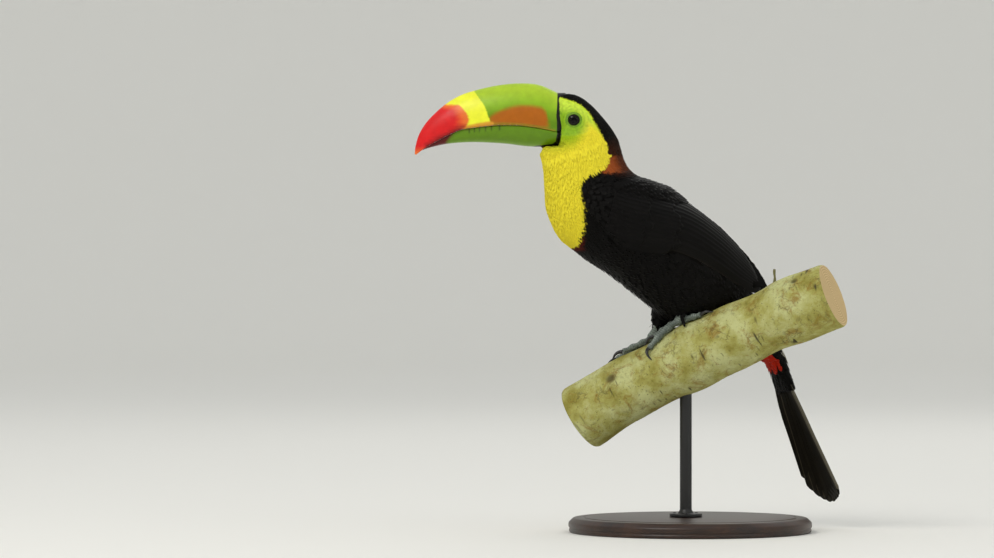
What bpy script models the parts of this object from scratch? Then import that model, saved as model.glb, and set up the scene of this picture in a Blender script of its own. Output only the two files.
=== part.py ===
"""A keel-billed toucan at life size, perched on a cut length of branch that a plain display stand holds.

The origin is the middle of the base's underside, with +Z up. The bird faces -X, and its left side faces -Y.
The trunk has a frame of its own, which the empty "bird" turns about the vertical: U runs back to the tail,
V out to the bird's right and Z up. The empty "head_turn" turns the head back, so that the bill lies along X.
Flesh is lofted through stations, each a cut across the body from its under side to its upper side.
All sizes are in metres.
"""

import math

import bmesh
import bpy
import numpy as np
from mathutils import Matrix, Vector

# Pose
BODY_YAW = math.radians(22)
HEAD_TURN = -BODY_YAW
TAIL_TWIST = math.radians(-18)
PERCH_YAW = math.radians(-20)
BIRD_PLACE = Vector((-0.020, 0, -0.0025))
NECK_AXIS_U = -0.083

# Clearances
GAP = 0.0003
PERCH_GAP = 0.0005
MANDIBLE_GAP = 0.0005

# Bill, in the head's frame, whose X = 0 is the neck's axis: length 131 mm, depth 57 mm, width 34 mm
# Upper mandible: ridge X and Z, cutting edge X and Z, half width, in millimetres
UPPER_STATIONS = (
    (-25.1, 405.2, -25.1, 368.7, 16.8),
    (-42, 412.4, -40, 371.9, 17.0),
    (-60, 413.9, -56, 374.4, 16.6),
    (-79, 412.2, -72, 375.2, 15.9),
    (-97, 408.4, -87, 374.6, 14.9),
    (-113, 403.4, -101, 373.0, 13.6),
    (-126, 396.0, -114, 370.9, 12.0),
    (-137, 386.8, -125, 366.2, 10.1),
    (-146, 377.0, -134.5, 361.2, 8.0),
    (-152, 366.8, -142.5, 356.9, 5.9),
    (-155, 356.5, -149, 352.9, 3.4),
    (-155.8, 349.2, -154.4, 348.7, 0.6),
)
# Lower mandible: cutting edge X and Z, keel X and Z, half width, in millimetres
LOWER_STATIONS = (
    (-25.1, 368.7, -25.1, 357.0, 16.4),
    (-40, 371.9, -39, 356.0, 15.9),
    (-56, 374.4, -55, 356.6, 15.0),
    (-72, 375.2, -71, 358.6, 13.9),
    (-87, 374.6, -87, 359.7, 12.7),
    (-101, 373.0, -102, 360.2, 11.2),
    (-114, 370.9, -117, 359.6, 9.4),
    (-125, 366.2, -129, 358.2, 7.4),
    (-134.5, 361.2, -138, 356.2, 5.2),
    (-142.5, 356.9, -144.5, 354.4, 3.0),
    (-147.6, 353.9, -148.6, 352.9, 1.1),
)

UPPER_RINGS = 18
LOWER_RINGS = 15
# Shares of a mandible's height at which its side has points
MANDIBLE_HEIGHTS = (0, 0.2, 0.42, 0.62, 0.79, 0.91, 0.975, 1)

# Head, neck and trunk: under side U and Z, upper side U and Z, half width, in millimetres, and the share of
# the head's turn that the station takes
BODY_STATIONS = (
    (-106.5, 359.0, -106.5, 404.0, 15.2, 1),
    (-109.5, 355.0, -94, 404.5, 20.0, 1),
    (-119, 352.6, -80, 396.8, 22.8, 1),
    (-122, 349.0, -65, 381.0, 25.5, 1),
    (-121.5, 342, -53, 364.5, 28.5, 1),
    (-120.5, 333, -47.5, 345, 31.5, 0.9),
    (-120.3, 320, -38.7, 332.5, 35.5, 0.7),
    (-120, 303, -21, 326, 39.5, 0.4),
    (-117.3, 286, 0, 320, 42.5, 0.15),
    (-106.8, 268, 16, 309, 44, 0),
    (-86.3, 254, 30, 294, 44.5, 0),
    (-60.4, 239.5, 42, 279, 43.5, 0),
    (-32.4, 219.5, 54, 263, 41, 0),
    (-5.4, 200, 65, 248, 37, 0),
    (23.7, 184, 76, 235, 32, 0),
    (49.6, 173, 86, 220, 27, 0),
    (69.5, 164, 98, 203, 22.5, 0),
    (85, 160.5, 109, 184, 18.5, 0),
    (99.4, 157.1, 117.6, 164.9, 15.5, 0),
)
BODY_SIDES = 20
BODY_RINGS = 32
BACK_FULLNESS = 0.10
# Cuts between head and neck, and neck and trunk: two points on each, U and Z
HEAD_CUT = ((-0.1215, 0.342), (-0.053, 0.3645))
NECK_CUT = ((-0.1205, 0.3265), (-0.038, 0.3415))

# Eyes, in the head's frame
EYE_RADIUS = 0.0085
EYE_SEGMENTS = 14
EYE_RINGS = 8
EYE_PLACE = Vector((-0.0109, 0.0156, 0.3797))

# Folded wing: lower edge U, V and Z, upper edge U, V and Z, outward bulge and thickness, in millimetres
WING_STATIONS = (
    (-100, 35.5, 311, -98, 33.0, 317, 1.2, 4.0),
    (-98, 37.5, 298, -91, 30.0, 327, 5.0, 8.0),
    (-88, 41.0, 282, -75, 26.5, 333, 10.5, 9.5),
    (-70, 44.0, 268, -51, 23.0, 330, 15.0, 10.0),
    (-43, 45.5, 261, -20, 19.0, 320, 16.5, 10.0),
    (-10, 44.5, 257, 13, 15.0, 307, 14.0, 9.0),
    (24, 40.0, 243, 45, 11.0, 286, 10.5, 7.0),
    (54, 31.5, 229, 71, 8.5, 263, 6.5, 4.8),
    (78, 22.5, 223, 88, 7.5, 244, 3.0, 3.0),
    (93.5, 15.5, 224, 96, 10.0, 229, 0.6, 1.4),
)
WING_RINGS = 16
WING_COLUMNS = 9

# Tail: its root is the trunk's last station. Length, half widths and half thicknesses from root to tips
TAIL_ROOT = Vector((0.1085, 0, 0.1610))
TAIL_DIRECTION = Vector((0.402, 0, -0.916)).normalized()
TAIL_LENGTH = 0.1464
TAIL_HALF_WIDTHS = (0.0155, 0.0154, 0.0160, 0.0172, 0.0188, 0.0207, 0.0225, 0.0240)
TAIL_HALF_DEPTHS = (0.0098, 0.0072, 0.0052, 0.0038, 0.0029, 0.0023, 0.0018, 0.0011)
TAIL_ROOF = 0.0035
TAIL_COLUMNS = 16
TAIL_RINGS = 8
FEATHERS_PER_SIDE = 5
# How much shorter than the middle pair each feather ends, from the middle out, near side and far side
NEAR_STEPS = (0.0, 0.002, 0.004, 0.007, 0.013)
FAR_STEPS = (0.0, 0.003, 0.007, 0.014, 0.028)
TIP_ROUNDING = 0.006

# Perch: its axis in X and Z, in millimetres, cut from a longer branch
PERCH_AXIS = ((-100, 103.5), (-62, 128), (-24, 148), (14, 167), (52, 185.5), (90, 203), (128, 218))
PERCH_RADIUS = 0.0302
PERCH_TURN_X = -0.008
PERCH_SIDES = 22
PERCH_RINGS = 13

# Feet: X of the ball of the foot and its angle round the perch from the top, towards +Y
LEFT_BALL = (0.006, math.radians(-12))
RIGHT_BALL = (-0.023, math.radians(9))
BALL_HEIGHT = 0.0048
# Each toe: name, heading from the perch's downhill direction towards -Y, length, radius at root and tip
LEFT_TOES = (
    ("outer_front", 30, 0.0370, 0.0036, 0.0025),
    ("inner_front", 4, 0.0270, 0.0034, 0.0024),
    ("outer_back", 164, 0.0240, 0.0034, 0.0024),
    ("inner_back", 196, 0.0170, 0.0032, 0.0023),
)
RIGHT_TOES = (
    ("outer_front", -9, 0.0400, 0.0036, 0.0025),
    ("inner_front", 17, 0.0290, 0.0034, 0.0024),
    ("outer_back", 205, 0.0330, 0.0034, 0.0024),
    ("inner_back", 174, 0.0190, 0.0032, 0.0023),
)
SHANK_HEIGHTS = (-0.0030, 0.0004, 0.0045, 0.0110, 0.0190, 0.0270)
SHANK_SIDES = 8
SHANK_RADII = (0.0026, 0.0044, 0.0038, 0.0031, 0.0031, 0.0034)
HIP = Vector((0.012, 0.017, 0.222))
THIGH_SIDES = 12
THIGH_RINGS = 7
SHANK_TO_THIGH = 0.0085
THIGH_RADII = (0.0190, 0.0135, 0.0065)
TOE_SIDES = 6
TOE_RINGS = 7
TOE_ROOM = 0.0012
TOE_ROOM_HEIGHT = 0.0034
CLAW_GAP = 0.0011
CLAW_LENGTH = 0.0115
CLAW_SIDES = 6
CLAW_RINGS = 6

# Stand
BASE_RADIUS = 0.112
BASE_THICKNESS = 0.014
BASE_ROUNDING = 0.003
BASE_STEPS = 44
ROD_X = -0.004
ROD_RADIUS = 0.0055
ROD_STEPS = 14
FLANGE_RADIUS = 0.015
FLANGE_THICKNESS = 0.003
ROD_DEPTH_IN_BASE = 0.008
ROD_DEPTH_IN_PERCH = 0.014

MM = 0.001


def along(values, t):
    """The value at t, from 0 to 1, on a smooth curve through evenly spaced values."""
    values = [np.asarray(v, float) for v in values]
    last = len(values) - 1
    place = min(max(t, 0.0), 1.0) * last
    i = min(int(place), last - 1)
    f = place - i
    a = values[i - 1] if i else 2 * values[0] - values[1]
    b, c = values[i], values[i + 1]
    d = values[i + 2] if i + 2 <= last else 2 * values[last] - values[last - 1]
    return b + 0.5 * f * ((c - a) + f * (2 * a - 5 * b + 4 * c - d + f * (3 * b - a - 3 * c + d)))


def material(name, colour, roughness, metallic=0.0):
    made = bpy.data.materials.new(name)
    made.use_nodes = True
    shader = made.node_tree.nodes["Principled BSDF"]
    shader.inputs["Base Color"].default_value = (*colour, 1)
    shader.inputs["Roughness"].default_value = roughness
    shader.inputs["Metallic"].default_value = metallic
    return made


def add(mesh_or_bmesh, name, parent=None, finish=None, cutter=False):
    """A new object in the toucan's collection, or in that of the cutters."""
    mesh = mesh_or_bmesh
    if isinstance(mesh, bmesh.types.BMesh):
        mesh = bpy.data.meshes.new(name)
        mesh_or_bmesh.to_mesh(mesh)
        mesh_or_bmesh.free()
    made = bpy.data.objects.new(name, mesh)
    bpy.data.collections["cutters" if cutter else "toucan"].objects.link(made)
    made.parent = parent
    if cutter:
        made.hide_render = True
        made.display_type = "WIRE"
    else:
        mesh.materials.append(finish)
        mesh.shade_smooth()
        mesh.set_sharp_from_angle(angle=math.radians(40))
    return made


def loft(rings):
    """One closed body through rings of points, each with as many points as the next, capped at both ends."""
    bm = bmesh.new()
    rows = [[bm.verts.new(p) for p in ring] for ring in rings]
    count = len(rows[0])
    for one, other in zip(rows, rows[1:]):
        for k in range(count):
            bm.faces.new((one[k], one[(k + 1) % count], other[(k + 1) % count], other[k]))
    bm.faces.new(rows[0])
    bm.faces.new(rows[-1])
    bmesh.ops.recalc_face_normals(bm, faces=bm.faces)
    return bm


def combine(piece, other, operation="DIFFERENCE"):
    change = piece.modifiers.new(f"{operation.lower()}_{other.name}", "BOOLEAN")
    change.operation = operation
    change.object = other
    change.solver = "EXACT"


def head_turned(point, share):
    """A point of the bird's frame after that share of the head's turn about the neck's upright axis."""
    axis = Vector((NECK_AXIS_U, 0, 0))
    return Matrix.Rotation(HEAD_TURN * share, 3, "Z") @ (point - axis) + axis


def body_ring(t, grow=0.0):
    low_u, low_z, high_u, high_z, half_width, turn = along(BODY_STATIONS, t)
    low = Vector((low_u, 0, low_z)) * MM
    high = Vector((high_u, 0, high_z)) * MM
    reach = (high - low) / 2
    reach += reach.normalized() * grow
    ring = []
    for k in range(BODY_SIDES):
        angle = 2 * math.pi * k / BODY_SIDES
        side = (half_width * MM + grow) * math.sin(angle) * (1 + BACK_FULLNESS * math.cos(angle))
        point = (low + high) / 2 + reach * math.cos(angle) + Vector((0, side, 0))
        ring.append(head_turned(point, turn))
    return ring


def body_loft(grow=0.0):
    return loft([body_ring(i / BODY_RINGS, grow) for i in range(BODY_RINGS + 1)])


def cut_off(bm, cut, keep_above):
    """Cuts the loft along a line of the bird's middle plane, leaves half a gap there and closes the face."""
    a, b = (Vector((u, 0, z)) for u, z in cut)
    normal = Vector((-(b - a).z, 0, (b - a).x)).normalized()
    shift = GAP / 2 if keep_above else -GAP / 2
    geometry = bm.verts[:] + bm.edges[:] + bm.faces[:]
    bmesh.ops.bisect_plane(
        bm,
        geom=geometry,
        plane_co=a + normal * shift,
        plane_no=normal,
        clear_inner=keep_above,
        clear_outer=not keep_above,
    )
    bmesh.ops.holes_fill(bm, edges=[e for e in bm.edges if e.is_boundary], sides=0)
    bmesh.ops.recalc_face_normals(bm, faces=bm.faces)
    return bm


def make_flesh(bird, finish):
    head = add(cut_off(body_loft(), HEAD_CUT, True), "head", bird, finish)
    neck = cut_off(cut_off(body_loft(), HEAD_CUT, False), NECK_CUT, True)
    add(neck, "neck", bird, finish)
    trunk = add(cut_off(body_loft(), NECK_CUT, False), "trunk", bird, finish)
    return head, trunk


def mandible_ring(edge, crest, half_width, shape, grow):
    """A mandible's cross-section: up one side from the cutting edge to the crest, down the other, and back
    across the flat of the mouth. shape gives the half width's share at a share of the height."""
    rise = crest - edge
    edge = edge - rise.normalized() * grow
    rise = rise + rise.normalized() * 2 * grow
    width = half_width + grow
    outer = [(width * shape(h), h) for h in MANDIBLE_HEIGHTS]
    ring = [edge + rise * h + Vector((0, w, 0)) for w, h in outer]
    ring += [edge + rise * h + Vector((0, -w, 0)) for w, h in reversed(outer[:-1])]
    return ring


def upper_shape(h):
    return max(0.0, 1 - h**2.2) ** 0.62


def lower_shape(h):
    return max(0.0, 1 - h**2.0) ** 0.55


def mandible(stations, shape, rings, edge_first, grow=0.0):
    rows = []
    for i in range(rings + 1):
        a_x, a_z, b_x, b_z, half_width = along(stations, i / rings) * MM
        a, b = Vector((a_x, 0, a_z)), Vector((b_x, 0, b_z))
        edge, crest = (a, b) if edge_first else (b, a)
        edge = edge + (crest - edge).normalized() * min(MANDIBLE_GAP / 2, (crest - edge).length / 4)
        rows.append(mandible_ring(edge, crest, half_width, shape, grow))
    return loft(rows)


def make_bill(head_turn, head, finish):
    add(mandible(UPPER_STATIONS, upper_shape, UPPER_RINGS, False), "bill_upper", head_turn, finish)
    add(mandible(LOWER_STATIONS, lower_shape, LOWER_RINGS, True), "bill_lower", head_turn, finish)
    lower_room = mandible(LOWER_STATIONS, lower_shape, LOWER_RINGS, True, GAP)
    combine(head, add(lower_room, "bill_lower_room", head_turn, cutter=True))


def ball(radius):
    bm = bmesh.new()
    bmesh.ops.create_uvsphere(bm, u_segments=EYE_SEGMENTS, v_segments=EYE_RINGS, radius=radius)
    return bm


def make_eyes(head_turn, head, finish):
    for name, side in (("eye_left", -1), ("eye_right", 1)):
        place = Vector((EYE_PLACE.x, side * EYE_PLACE.y, EYE_PLACE.z))
        eye = add(ball(EYE_RADIUS), name, head_turn, finish)
        room = add(ball(EYE_RADIUS + 2 * GAP), f"{name}_room", head_turn, cutter=True)
        for piece in (eye, room):
            piece.location = place
            piece.rotation_euler.x = math.radians(90)
        combine(head, room)


def wing_ring(t, side, grow):
    """A slice across the folded wing: out over its bulge from the lower edge to the upper, and back inside."""
    numbers = along(WING_STATIONS, t) * MM
    lower, upper = Vector(numbers[0:3]), Vector(numbers[3:6])
    bulge, thickness = numbers[6], numbers[7]
    before, after = (along(WING_STATIONS, t + step) * MM for step in (-0.02, 0.02))
    forward = (Vector(after[0:3]) - Vector(before[0:3])).normalized()
    outward = (upper - lower).cross(forward).normalized()
    if outward.y < 0:
        outward = -outward
    edge = (upper - lower).normalized() * grow
    outer, inner = [], []
    for k in range(WING_COLUMNS + 1):
        w = k / WING_COLUMNS
        middle = lower - edge + (upper - lower + 2 * edge) * w + outward * bulge * 4 * w * (1 - w)
        deep = thickness * (0.16 + 0.84 * math.sin(math.pi * w) ** 0.6)
        outer.append(middle + outward * grow)
        inner.append(middle - outward * (deep + grow))
    ring = outer + inner[::-1]
    return [Vector((p.x, p.y * side, p.z)) for p in ring]


def make_wings(bird, trunk, finish):
    for name, side in (("wing_left", -1), ("wing_right", 1)):
        steps = [i / WING_RINGS for i in range(WING_RINGS + 1)]
        add(loft([wing_ring(t, side, 0) for t in steps]), name, bird, finish)
        room = loft([wing_ring(t, side, GAP) for t in steps])
        combine(trunk, add(room, f"{name}_room", bird, cutter=True))


def feather_end(across):
    """How far short of the middle pair the tail ends, from -1 at its near edge to 1 at its far edge."""
    steps = NEAR_STEPS if across < 0 else FAR_STEPS
    place = min(abs(across) * FEATHERS_PER_SIDE, FEATHERS_PER_SIDE - 0.001)
    feather = int(place)
    off_middle = (place - feather) * 2 - 1
    return steps[feather] + TIP_ROUNDING * off_middle**2


def make_tail(bird, finish):
    """A flat, slightly roofed blade that starts as thick as the trunk's end and ends in the feathers' tips."""
    twist = Matrix.Rotation(TAIL_TWIST, 3, TAIL_DIRECTION)
    rows = []
    for i in range(TAIL_RINGS + 1):
        t = i / TAIL_RINGS
        settle = min(1.0, 3 * t)
        turn = Matrix.Identity(3).lerp(twist, settle)
        high = (turn @ Vector((-TAIL_DIRECTION.z, 0, TAIL_DIRECTION.x))).normalized()
        wide = (turn @ Vector((0, 1, 0))).normalized()
        half_width = float(along(TAIL_HALF_WIDTHS, t))
        half_depth = float(along(TAIL_HALF_DEPTHS, t))
        centre = TAIL_ROOT + TAIL_DIRECTION * (GAP + TAIL_LENGTH * t)
        top, under = [], []
        for k in range(TAIL_COLUMNS + 1):
            across = -1 + 2 * k / TAIL_COLUMNS
            round_off = math.sqrt(max(0.0, 1 - across**2))
            rim = 0.35 * settle + (1 - 0.35 * settle) * round_off
            sag = -TAIL_ROOF * settle * across**2
            short = feather_end(across) * t**3
            place = centre + wide * half_width * across + high * sag - TAIL_DIRECTION * short
            top.append(place + high * half_depth * max(rim, 0.08))
            under.append(place - high * half_depth * max(rim, 0.08))
        rows.append(top + under[::-1])
    return add(loft(rows), "tail", bird, finish)


def perch_frame(x):
    """The perch's axis at X = x: its place, its uphill direction, and square to that up and towards +Y."""
    xs = [p[0] * MM for p in PERCH_AXIS]
    t = (x - xs[0]) / (xs[-1] - xs[0])

    def place(share):
        on_x, on_z = along(PERCH_AXIS, share) * MM
        return Vector((on_x, (on_x - PERCH_TURN_X) * math.tan(PERCH_YAW), on_z))

    uphill = (place(min(t + 0.01, 1)) - place(max(t - 0.01, 0))).normalized()
    far = Vector((0, 0, 1)).cross(uphill).normalized()
    return place(t), uphill, uphill.cross(far), far


def perch_radius(x):
    """The branch swells and thins along its length."""
    return PERCH_RADIUS + 0.0009 * math.sin(x * 62 + 0.8) + 0.0006 * math.sin(x * 131 + 2)


def on_perch(x, angle, height):
    """A point over the perch's surface, at an angle from its top towards +Y."""
    place, _, up, far = perch_frame(x)
    radius = perch_radius(x) + height
    return place + (up * math.cos(angle) + far * math.sin(angle)) * radius


def tube(points, radii, sides):
    """A round tapering tube: a curve's bevel, made a mesh whose caps are welded on. sides is even."""
    curve = bpy.data.curves.new("path", "CURVE")
    curve.dimensions = "3D"
    curve.bevel_depth = 1
    curve.bevel_resolution = (sides - 4) // 2
    curve.use_fill_caps = True
    spline = curve.splines.new("POLY")
    spline.points.add(len(points) - 1)
    for knot, point, radius in zip(spline.points, points, radii):
        knot.co = (*point, 1)
        knot.radius = radius
    path = bpy.data.objects.new("path", curve)
    bpy.context.scene.collection.objects.link(path)
    depsgraph = bpy.context.evaluated_depsgraph_get()
    bm = bmesh.new()
    bm.from_mesh(bpy.data.meshes.new_from_object(path.evaluated_get(depsgraph)))
    bpy.data.objects.remove(path)
    bmesh.ops.remove_doubles(bm, verts=bm.verts, dist=1e-6)
    bmesh.ops.recalc_face_normals(bm, faces=bm.faces)
    return bm


def perch_tube(grow=0.0):
    first, last = (PERCH_AXIS[i][0] * MM for i in (0, -1))
    steps = [first + (last - first) * i / PERCH_RINGS for i in range(PERCH_RINGS + 1)]
    places = [perch_frame(x)[0] for x in steps]
    return tube(places, [perch_radius(x) + grow for x in steps], PERCH_SIDES)


def over_perch(ball_place, heading, distance, height):
    """A point that far from the ball of the foot over the perch's surface, along a heading."""
    x, angle = ball_place
    _, uphill, _, _ = perch_frame(x)
    down = distance * math.cos(heading)
    near = distance * math.sin(heading)
    return on_perch(x - down * uphill.x, angle - near / PERCH_RADIUS, height)


def toe_radius(t, root, tip):
    """A toe narrows to its claw, with a pad under each joint."""
    return root + (tip - root) * t + 0.00035 * math.cos(t * 3 * 2 * math.pi)


def make_toe(name, ball_place, heading, length, root, tip, claw_finish):
    """A toe as a cutter, for its foot to be joined with, and its claw."""
    points, radii = [], []
    for i in range(TOE_RINGS):
        t = i / (TOE_RINGS - 1)
        radius = toe_radius(t, root, tip)
        points.append(over_perch(ball_place, heading, length * t, radius + PERCH_GAP))
        radii.append(radius)
    toe = add(tube(points, radii, TOE_SIDES), f"toe_{name}", cutter=True)
    reach = length + CLAW_GAP + CLAW_LENGTH + GAP
    steps = [reach * i / TOE_RINGS for i in range(TOE_RINGS + 1)]
    points = [over_perch(ball_place, heading, step, TOE_ROOM_HEIGHT) for step in steps]
    room_tube = tube(points, [root + TOE_ROOM] * len(points), TOE_SIDES)
    room = add(room_tube, f"toe_{name}_room", cutter=True)
    points, radii = [], []
    for i in range(CLAW_RINGS):
        t = i / (CLAW_RINGS - 1)
        arch = tip + 0.0022 * math.sin(math.pi * min(1, t * 1.25)) - (tip - 0.0004) * t**1.6
        distance = length + CLAW_GAP + CLAW_LENGTH * t * (1 - 0.25 * t)
        points.append(over_perch(ball_place, heading, distance, arch + PERCH_GAP))
        radii.append(0.0020 * (1 - t) ** 0.8 + 0.0003)
    add(tube(points, radii, CLAW_SIDES), f"claw_{name}", None, claw_finish)
    return toe, room


def make_leg(side, ball_place, toes, bird, skin, horn, plumage, rooms):
    """A foot with its toes and the bare end of its shank, its claws, and the feathered thigh above it."""
    foot_place = on_perch(*ball_place, BALL_HEIGHT)
    _, uphill, up, _ = perch_frame(ball_place[0])
    lean = (up * 0.6 + uphill * 0.8).normalized()

    def shank(grow):
        ends = (SHANK_HEIGHTS[0] - grow, *SHANK_HEIGHTS[1:-1], SHANK_HEIGHTS[-1] + grow)
        return tube([foot_place + lean * h for h in ends], [r + grow for r in SHANK_RADII], SHANK_SIDES)

    foot = add(shank(0), f"foot_{side}", None, skin)
    foot_room = add(shank(2 * GAP), f"foot_{side}_room", cutter=True)
    for name, heading, length, root, tip in toes:
        heading = math.radians(heading)
        toe, toe_room = make_toe(f"{side}_{name}", ball_place, heading, length, root, tip, horn)
        combine(foot, toe, "UNION")
        combine(foot_room, toe_room, "UNION")
    sign = -1 if side == "left" else 1
    hip = bird.matrix_world @ Vector((HIP.x, sign * HIP.y, HIP.z))
    ankle = foot_place + lean * SHANK_TO_THIGH
    middle = hip.lerp(ankle, 0.55) + Vector((0.0005, 0, 0))
    steps = [i / THIGH_RINGS for i in range(THIGH_RINGS + 1)]
    points = [Vector(along((hip, middle, ankle), t)) for t in steps]
    widths = [float(along(THIGH_RADII, t)) for t in steps]
    thigh = add(tube(points, widths, THIGH_SIDES), f"thigh_{side}", None, plumage)
    for room in (*rooms, foot_room):
        combine(thigh, room)
    return foot_room


def make_perch(bark, rod_room):
    perch = add(perch_tube(), "perch", None, bark)
    combine(perch, rod_room)


def turned(profile, steps, name, finish=None, cutter=False):
    """A solid turned about Z from (radius, height) points listed from the top of its outer side down."""
    bm = bmesh.new()
    verts = [bm.verts.new((r, 0, z)) for r, z in profile]
    for one, other in zip(verts, verts[1:]):
        bm.edges.new((one, other))
    made = add(bm, name, None, finish, cutter)
    screw = made.modifiers.new("turn", "SCREW")
    screw.steps = screw.render_steps = steps
    screw.use_merge_vertices = True
    screw.merge_threshold = 1e-5
    return made


def make_stand(wood, metal):
    """A round base and one rod with a flange, whose ends sit in blind holes in the base and the perch."""
    place, _, _, _ = perch_frame(ROD_X)
    under = place.z - PERCH_RADIUS
    top = under + ROD_DEPTH_IN_PERCH
    bottom = BASE_THICKNESS - ROD_DEPTH_IN_BASE
    flange = BASE_THICKNESS + GAP
    axis = Vector((ROD_X, place.y, 0))
    rod_profile = (
        (0, top),
        (ROD_RADIUS, top),
        (ROD_RADIUS, flange + FLANGE_THICKNESS + 0.002),
        (ROD_RADIUS + 0.002, flange + FLANGE_THICKNESS),
        (FLANGE_RADIUS, flange + FLANGE_THICKNESS),
        (FLANGE_RADIUS, flange),
        (ROD_RADIUS, flange),
        (ROD_RADIUS, bottom + GAP),
        (0, bottom + GAP),
    )
    turned(rod_profile, ROD_STEPS, "stand_rod", metal).location = axis
    room_radius = ROD_RADIUS + GAP
    room_profile = ((0, top + GAP), (room_radius, top + GAP), (room_radius, bottom), (0, bottom))
    rod_room = turned(room_profile, ROD_STEPS, "rod_room", cutter=True)
    rod_room.location = axis
    r, h, b = BASE_RADIUS, BASE_THICKNESS, BASE_ROUNDING
    base_profile = ((0, h), (r - b, h), (r - 0.3 * b, h - 0.3 * b), (r, h - b), (r, b / 2), (r - b / 2, 0), (0, 0))
    base = turned(base_profile, BASE_STEPS, "stand_base", wood)
    combine(base, rod_room)
    return rod_room


def main():
    for old in list(bpy.data.objects):
        bpy.data.objects.remove(old)
    for name in ("toucan", "cutters"):
        bpy.context.scene.collection.children.link(bpy.data.collections.new(name))

    plumage = material("black_plumage", (0.012, 0.010, 0.010), 0.75)
    tail_plumage = material("tail_plumage", (0.014, 0.012, 0.011), 0.7)
    bib = material("yellow_plumage", (0.72, 0.60, 0.05), 0.8)
    horn_green = material("green_bill_horn", (0.30, 0.50, 0.03), 0.35)
    cornea = material("dark_eye", (0.01, 0.008, 0.006), 0.1)
    scute = material("blue_grey_scutes", (0.24, 0.30, 0.38), 0.6)
    claw_horn = material("grey_claw_horn", (0.05, 0.05, 0.05), 0.4)
    bark = material("pale_bark", (0.50, 0.47, 0.25), 0.85)
    wood = material("dark_stained_wood", (0.06, 0.035, 0.02), 0.4)
    metal = material("black_painted_steel", (0.02, 0.02, 0.02), 0.35, 0.6)

    bird = bpy.data.objects.new("bird", None)
    bird.location = BIRD_PLACE
    bird.rotation_euler.z = BODY_YAW
    head_turn = bpy.data.objects.new("head_turn", None)
    head_turn.parent = bird
    head_turn.location.x = NECK_AXIS_U
    head_turn.rotation_euler.z = HEAD_TURN
    for empty in (bird, head_turn):
        bpy.data.collections["toucan"].objects.link(empty)
    bpy.context.view_layer.update()

    head, trunk = make_flesh(bird, plumage)
    head.data.materials[0] = bib
    bpy.data.objects["neck"].data.materials[0] = bib
    make_bill(head_turn, head, horn_green)
    make_eyes(head_turn, head, cornea)
    make_tail(bird, tail_plumage)

    flesh_room = add(body_loft(GAP), "flesh_room", bird, cutter=True)
    perch_room = add(perch_tube(PERCH_GAP), "perch_room", None, cutter=True)
    combine(trunk, perch_room)
    for side, ball_place, toes in (("left", LEFT_BALL, LEFT_TOES), ("right", RIGHT_BALL, RIGHT_TOES)):
        rooms = (flesh_room, perch_room)
        combine(trunk, make_leg(side, ball_place, toes, bird, scute, claw_horn, plumage, rooms))
    make_wings(bird, trunk, plumage)

    make_perch(bark, make_stand(wood, metal))


main()
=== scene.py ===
"""A keel-billed toucan at life size, on a cut branch and a plain display stand.

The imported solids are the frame. The skin is grown from the solids of flesh, and feathers are laid over it as
thin closed vanes. The bill, eyes, feet, claws, branch and stand are made again at full detail in the same
places.
All sizes are in metres unless a name says mm. The origin is the middle of the base's underside, with +Z up.
"""

import math
from contextlib import contextmanager

import bmesh
import bpy
import numpy as np
from bpy.props import FloatProperty, FloatVectorProperty, IntProperty, PointerProperty
from mathutils import Matrix, Vector, noise
from mathutils.bvhtree import BVHTree


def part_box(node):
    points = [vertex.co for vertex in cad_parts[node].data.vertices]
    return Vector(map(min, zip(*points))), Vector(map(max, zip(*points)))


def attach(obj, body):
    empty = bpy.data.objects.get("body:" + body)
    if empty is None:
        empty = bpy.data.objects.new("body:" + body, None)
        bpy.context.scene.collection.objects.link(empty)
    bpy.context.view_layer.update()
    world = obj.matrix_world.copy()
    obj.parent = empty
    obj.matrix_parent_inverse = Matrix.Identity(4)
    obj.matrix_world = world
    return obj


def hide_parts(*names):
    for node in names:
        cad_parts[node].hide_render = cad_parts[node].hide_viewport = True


bl_info = {
    "name": "Keel-billed toucan",
    "version": (1, 0, 0),
    "blender": (4, 5, 0),
    "location": "View3D > Sidebar > Toucan",
    "description": "Builds a life-size keel-billed toucan on a cut branch and a display stand",
    "category": "Object",
}

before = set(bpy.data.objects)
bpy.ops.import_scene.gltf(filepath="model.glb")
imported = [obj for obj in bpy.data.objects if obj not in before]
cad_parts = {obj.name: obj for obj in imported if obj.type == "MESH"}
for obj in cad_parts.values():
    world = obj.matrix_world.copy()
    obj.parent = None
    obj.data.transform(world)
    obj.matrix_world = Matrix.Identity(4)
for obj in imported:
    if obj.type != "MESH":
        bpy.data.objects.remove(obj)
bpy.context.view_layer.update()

MM = 0.001
# ---------------------------------------------------------------- the pose that the solids have

BODY_YAW = math.radians(22)
BIRD_PLACE = np.array([-0.020, 0.0, -0.0025])
NECK_AXIS_U = -0.083
HEAD_ORIGIN = BIRD_PLACE + NECK_AXIS_U * np.array([math.cos(BODY_YAW), math.sin(BODY_YAW), 0.0])

# How the coat lies: cuts across the bird from its under side (U, Z) to its upper side (U, Z), in mm,
# from the bill's base to the tail's root, and the share of the head's turn that each cut takes
LIE = np.array((
    (-106.5, 359, -106.5, 404, 1), (-119, 352.6, -80, 396.8, 1), (-121.5, 342, -53, 364.5, 1),
    (-120.3, 320, -38.7, 332.5, 0.7), (-117.3, 286, 0, 320, 0.15), (-86.3, 254, 30, 294, 0),
    (-32.4, 219.5, 54, 263, 0), (23.7, 184, 76, 235, 0), (69.5, 164, 98, 203, 0),
    (99.4, 157.1, 117.6, 164.9, 0),
))
LIE_STEPS = 150

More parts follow.
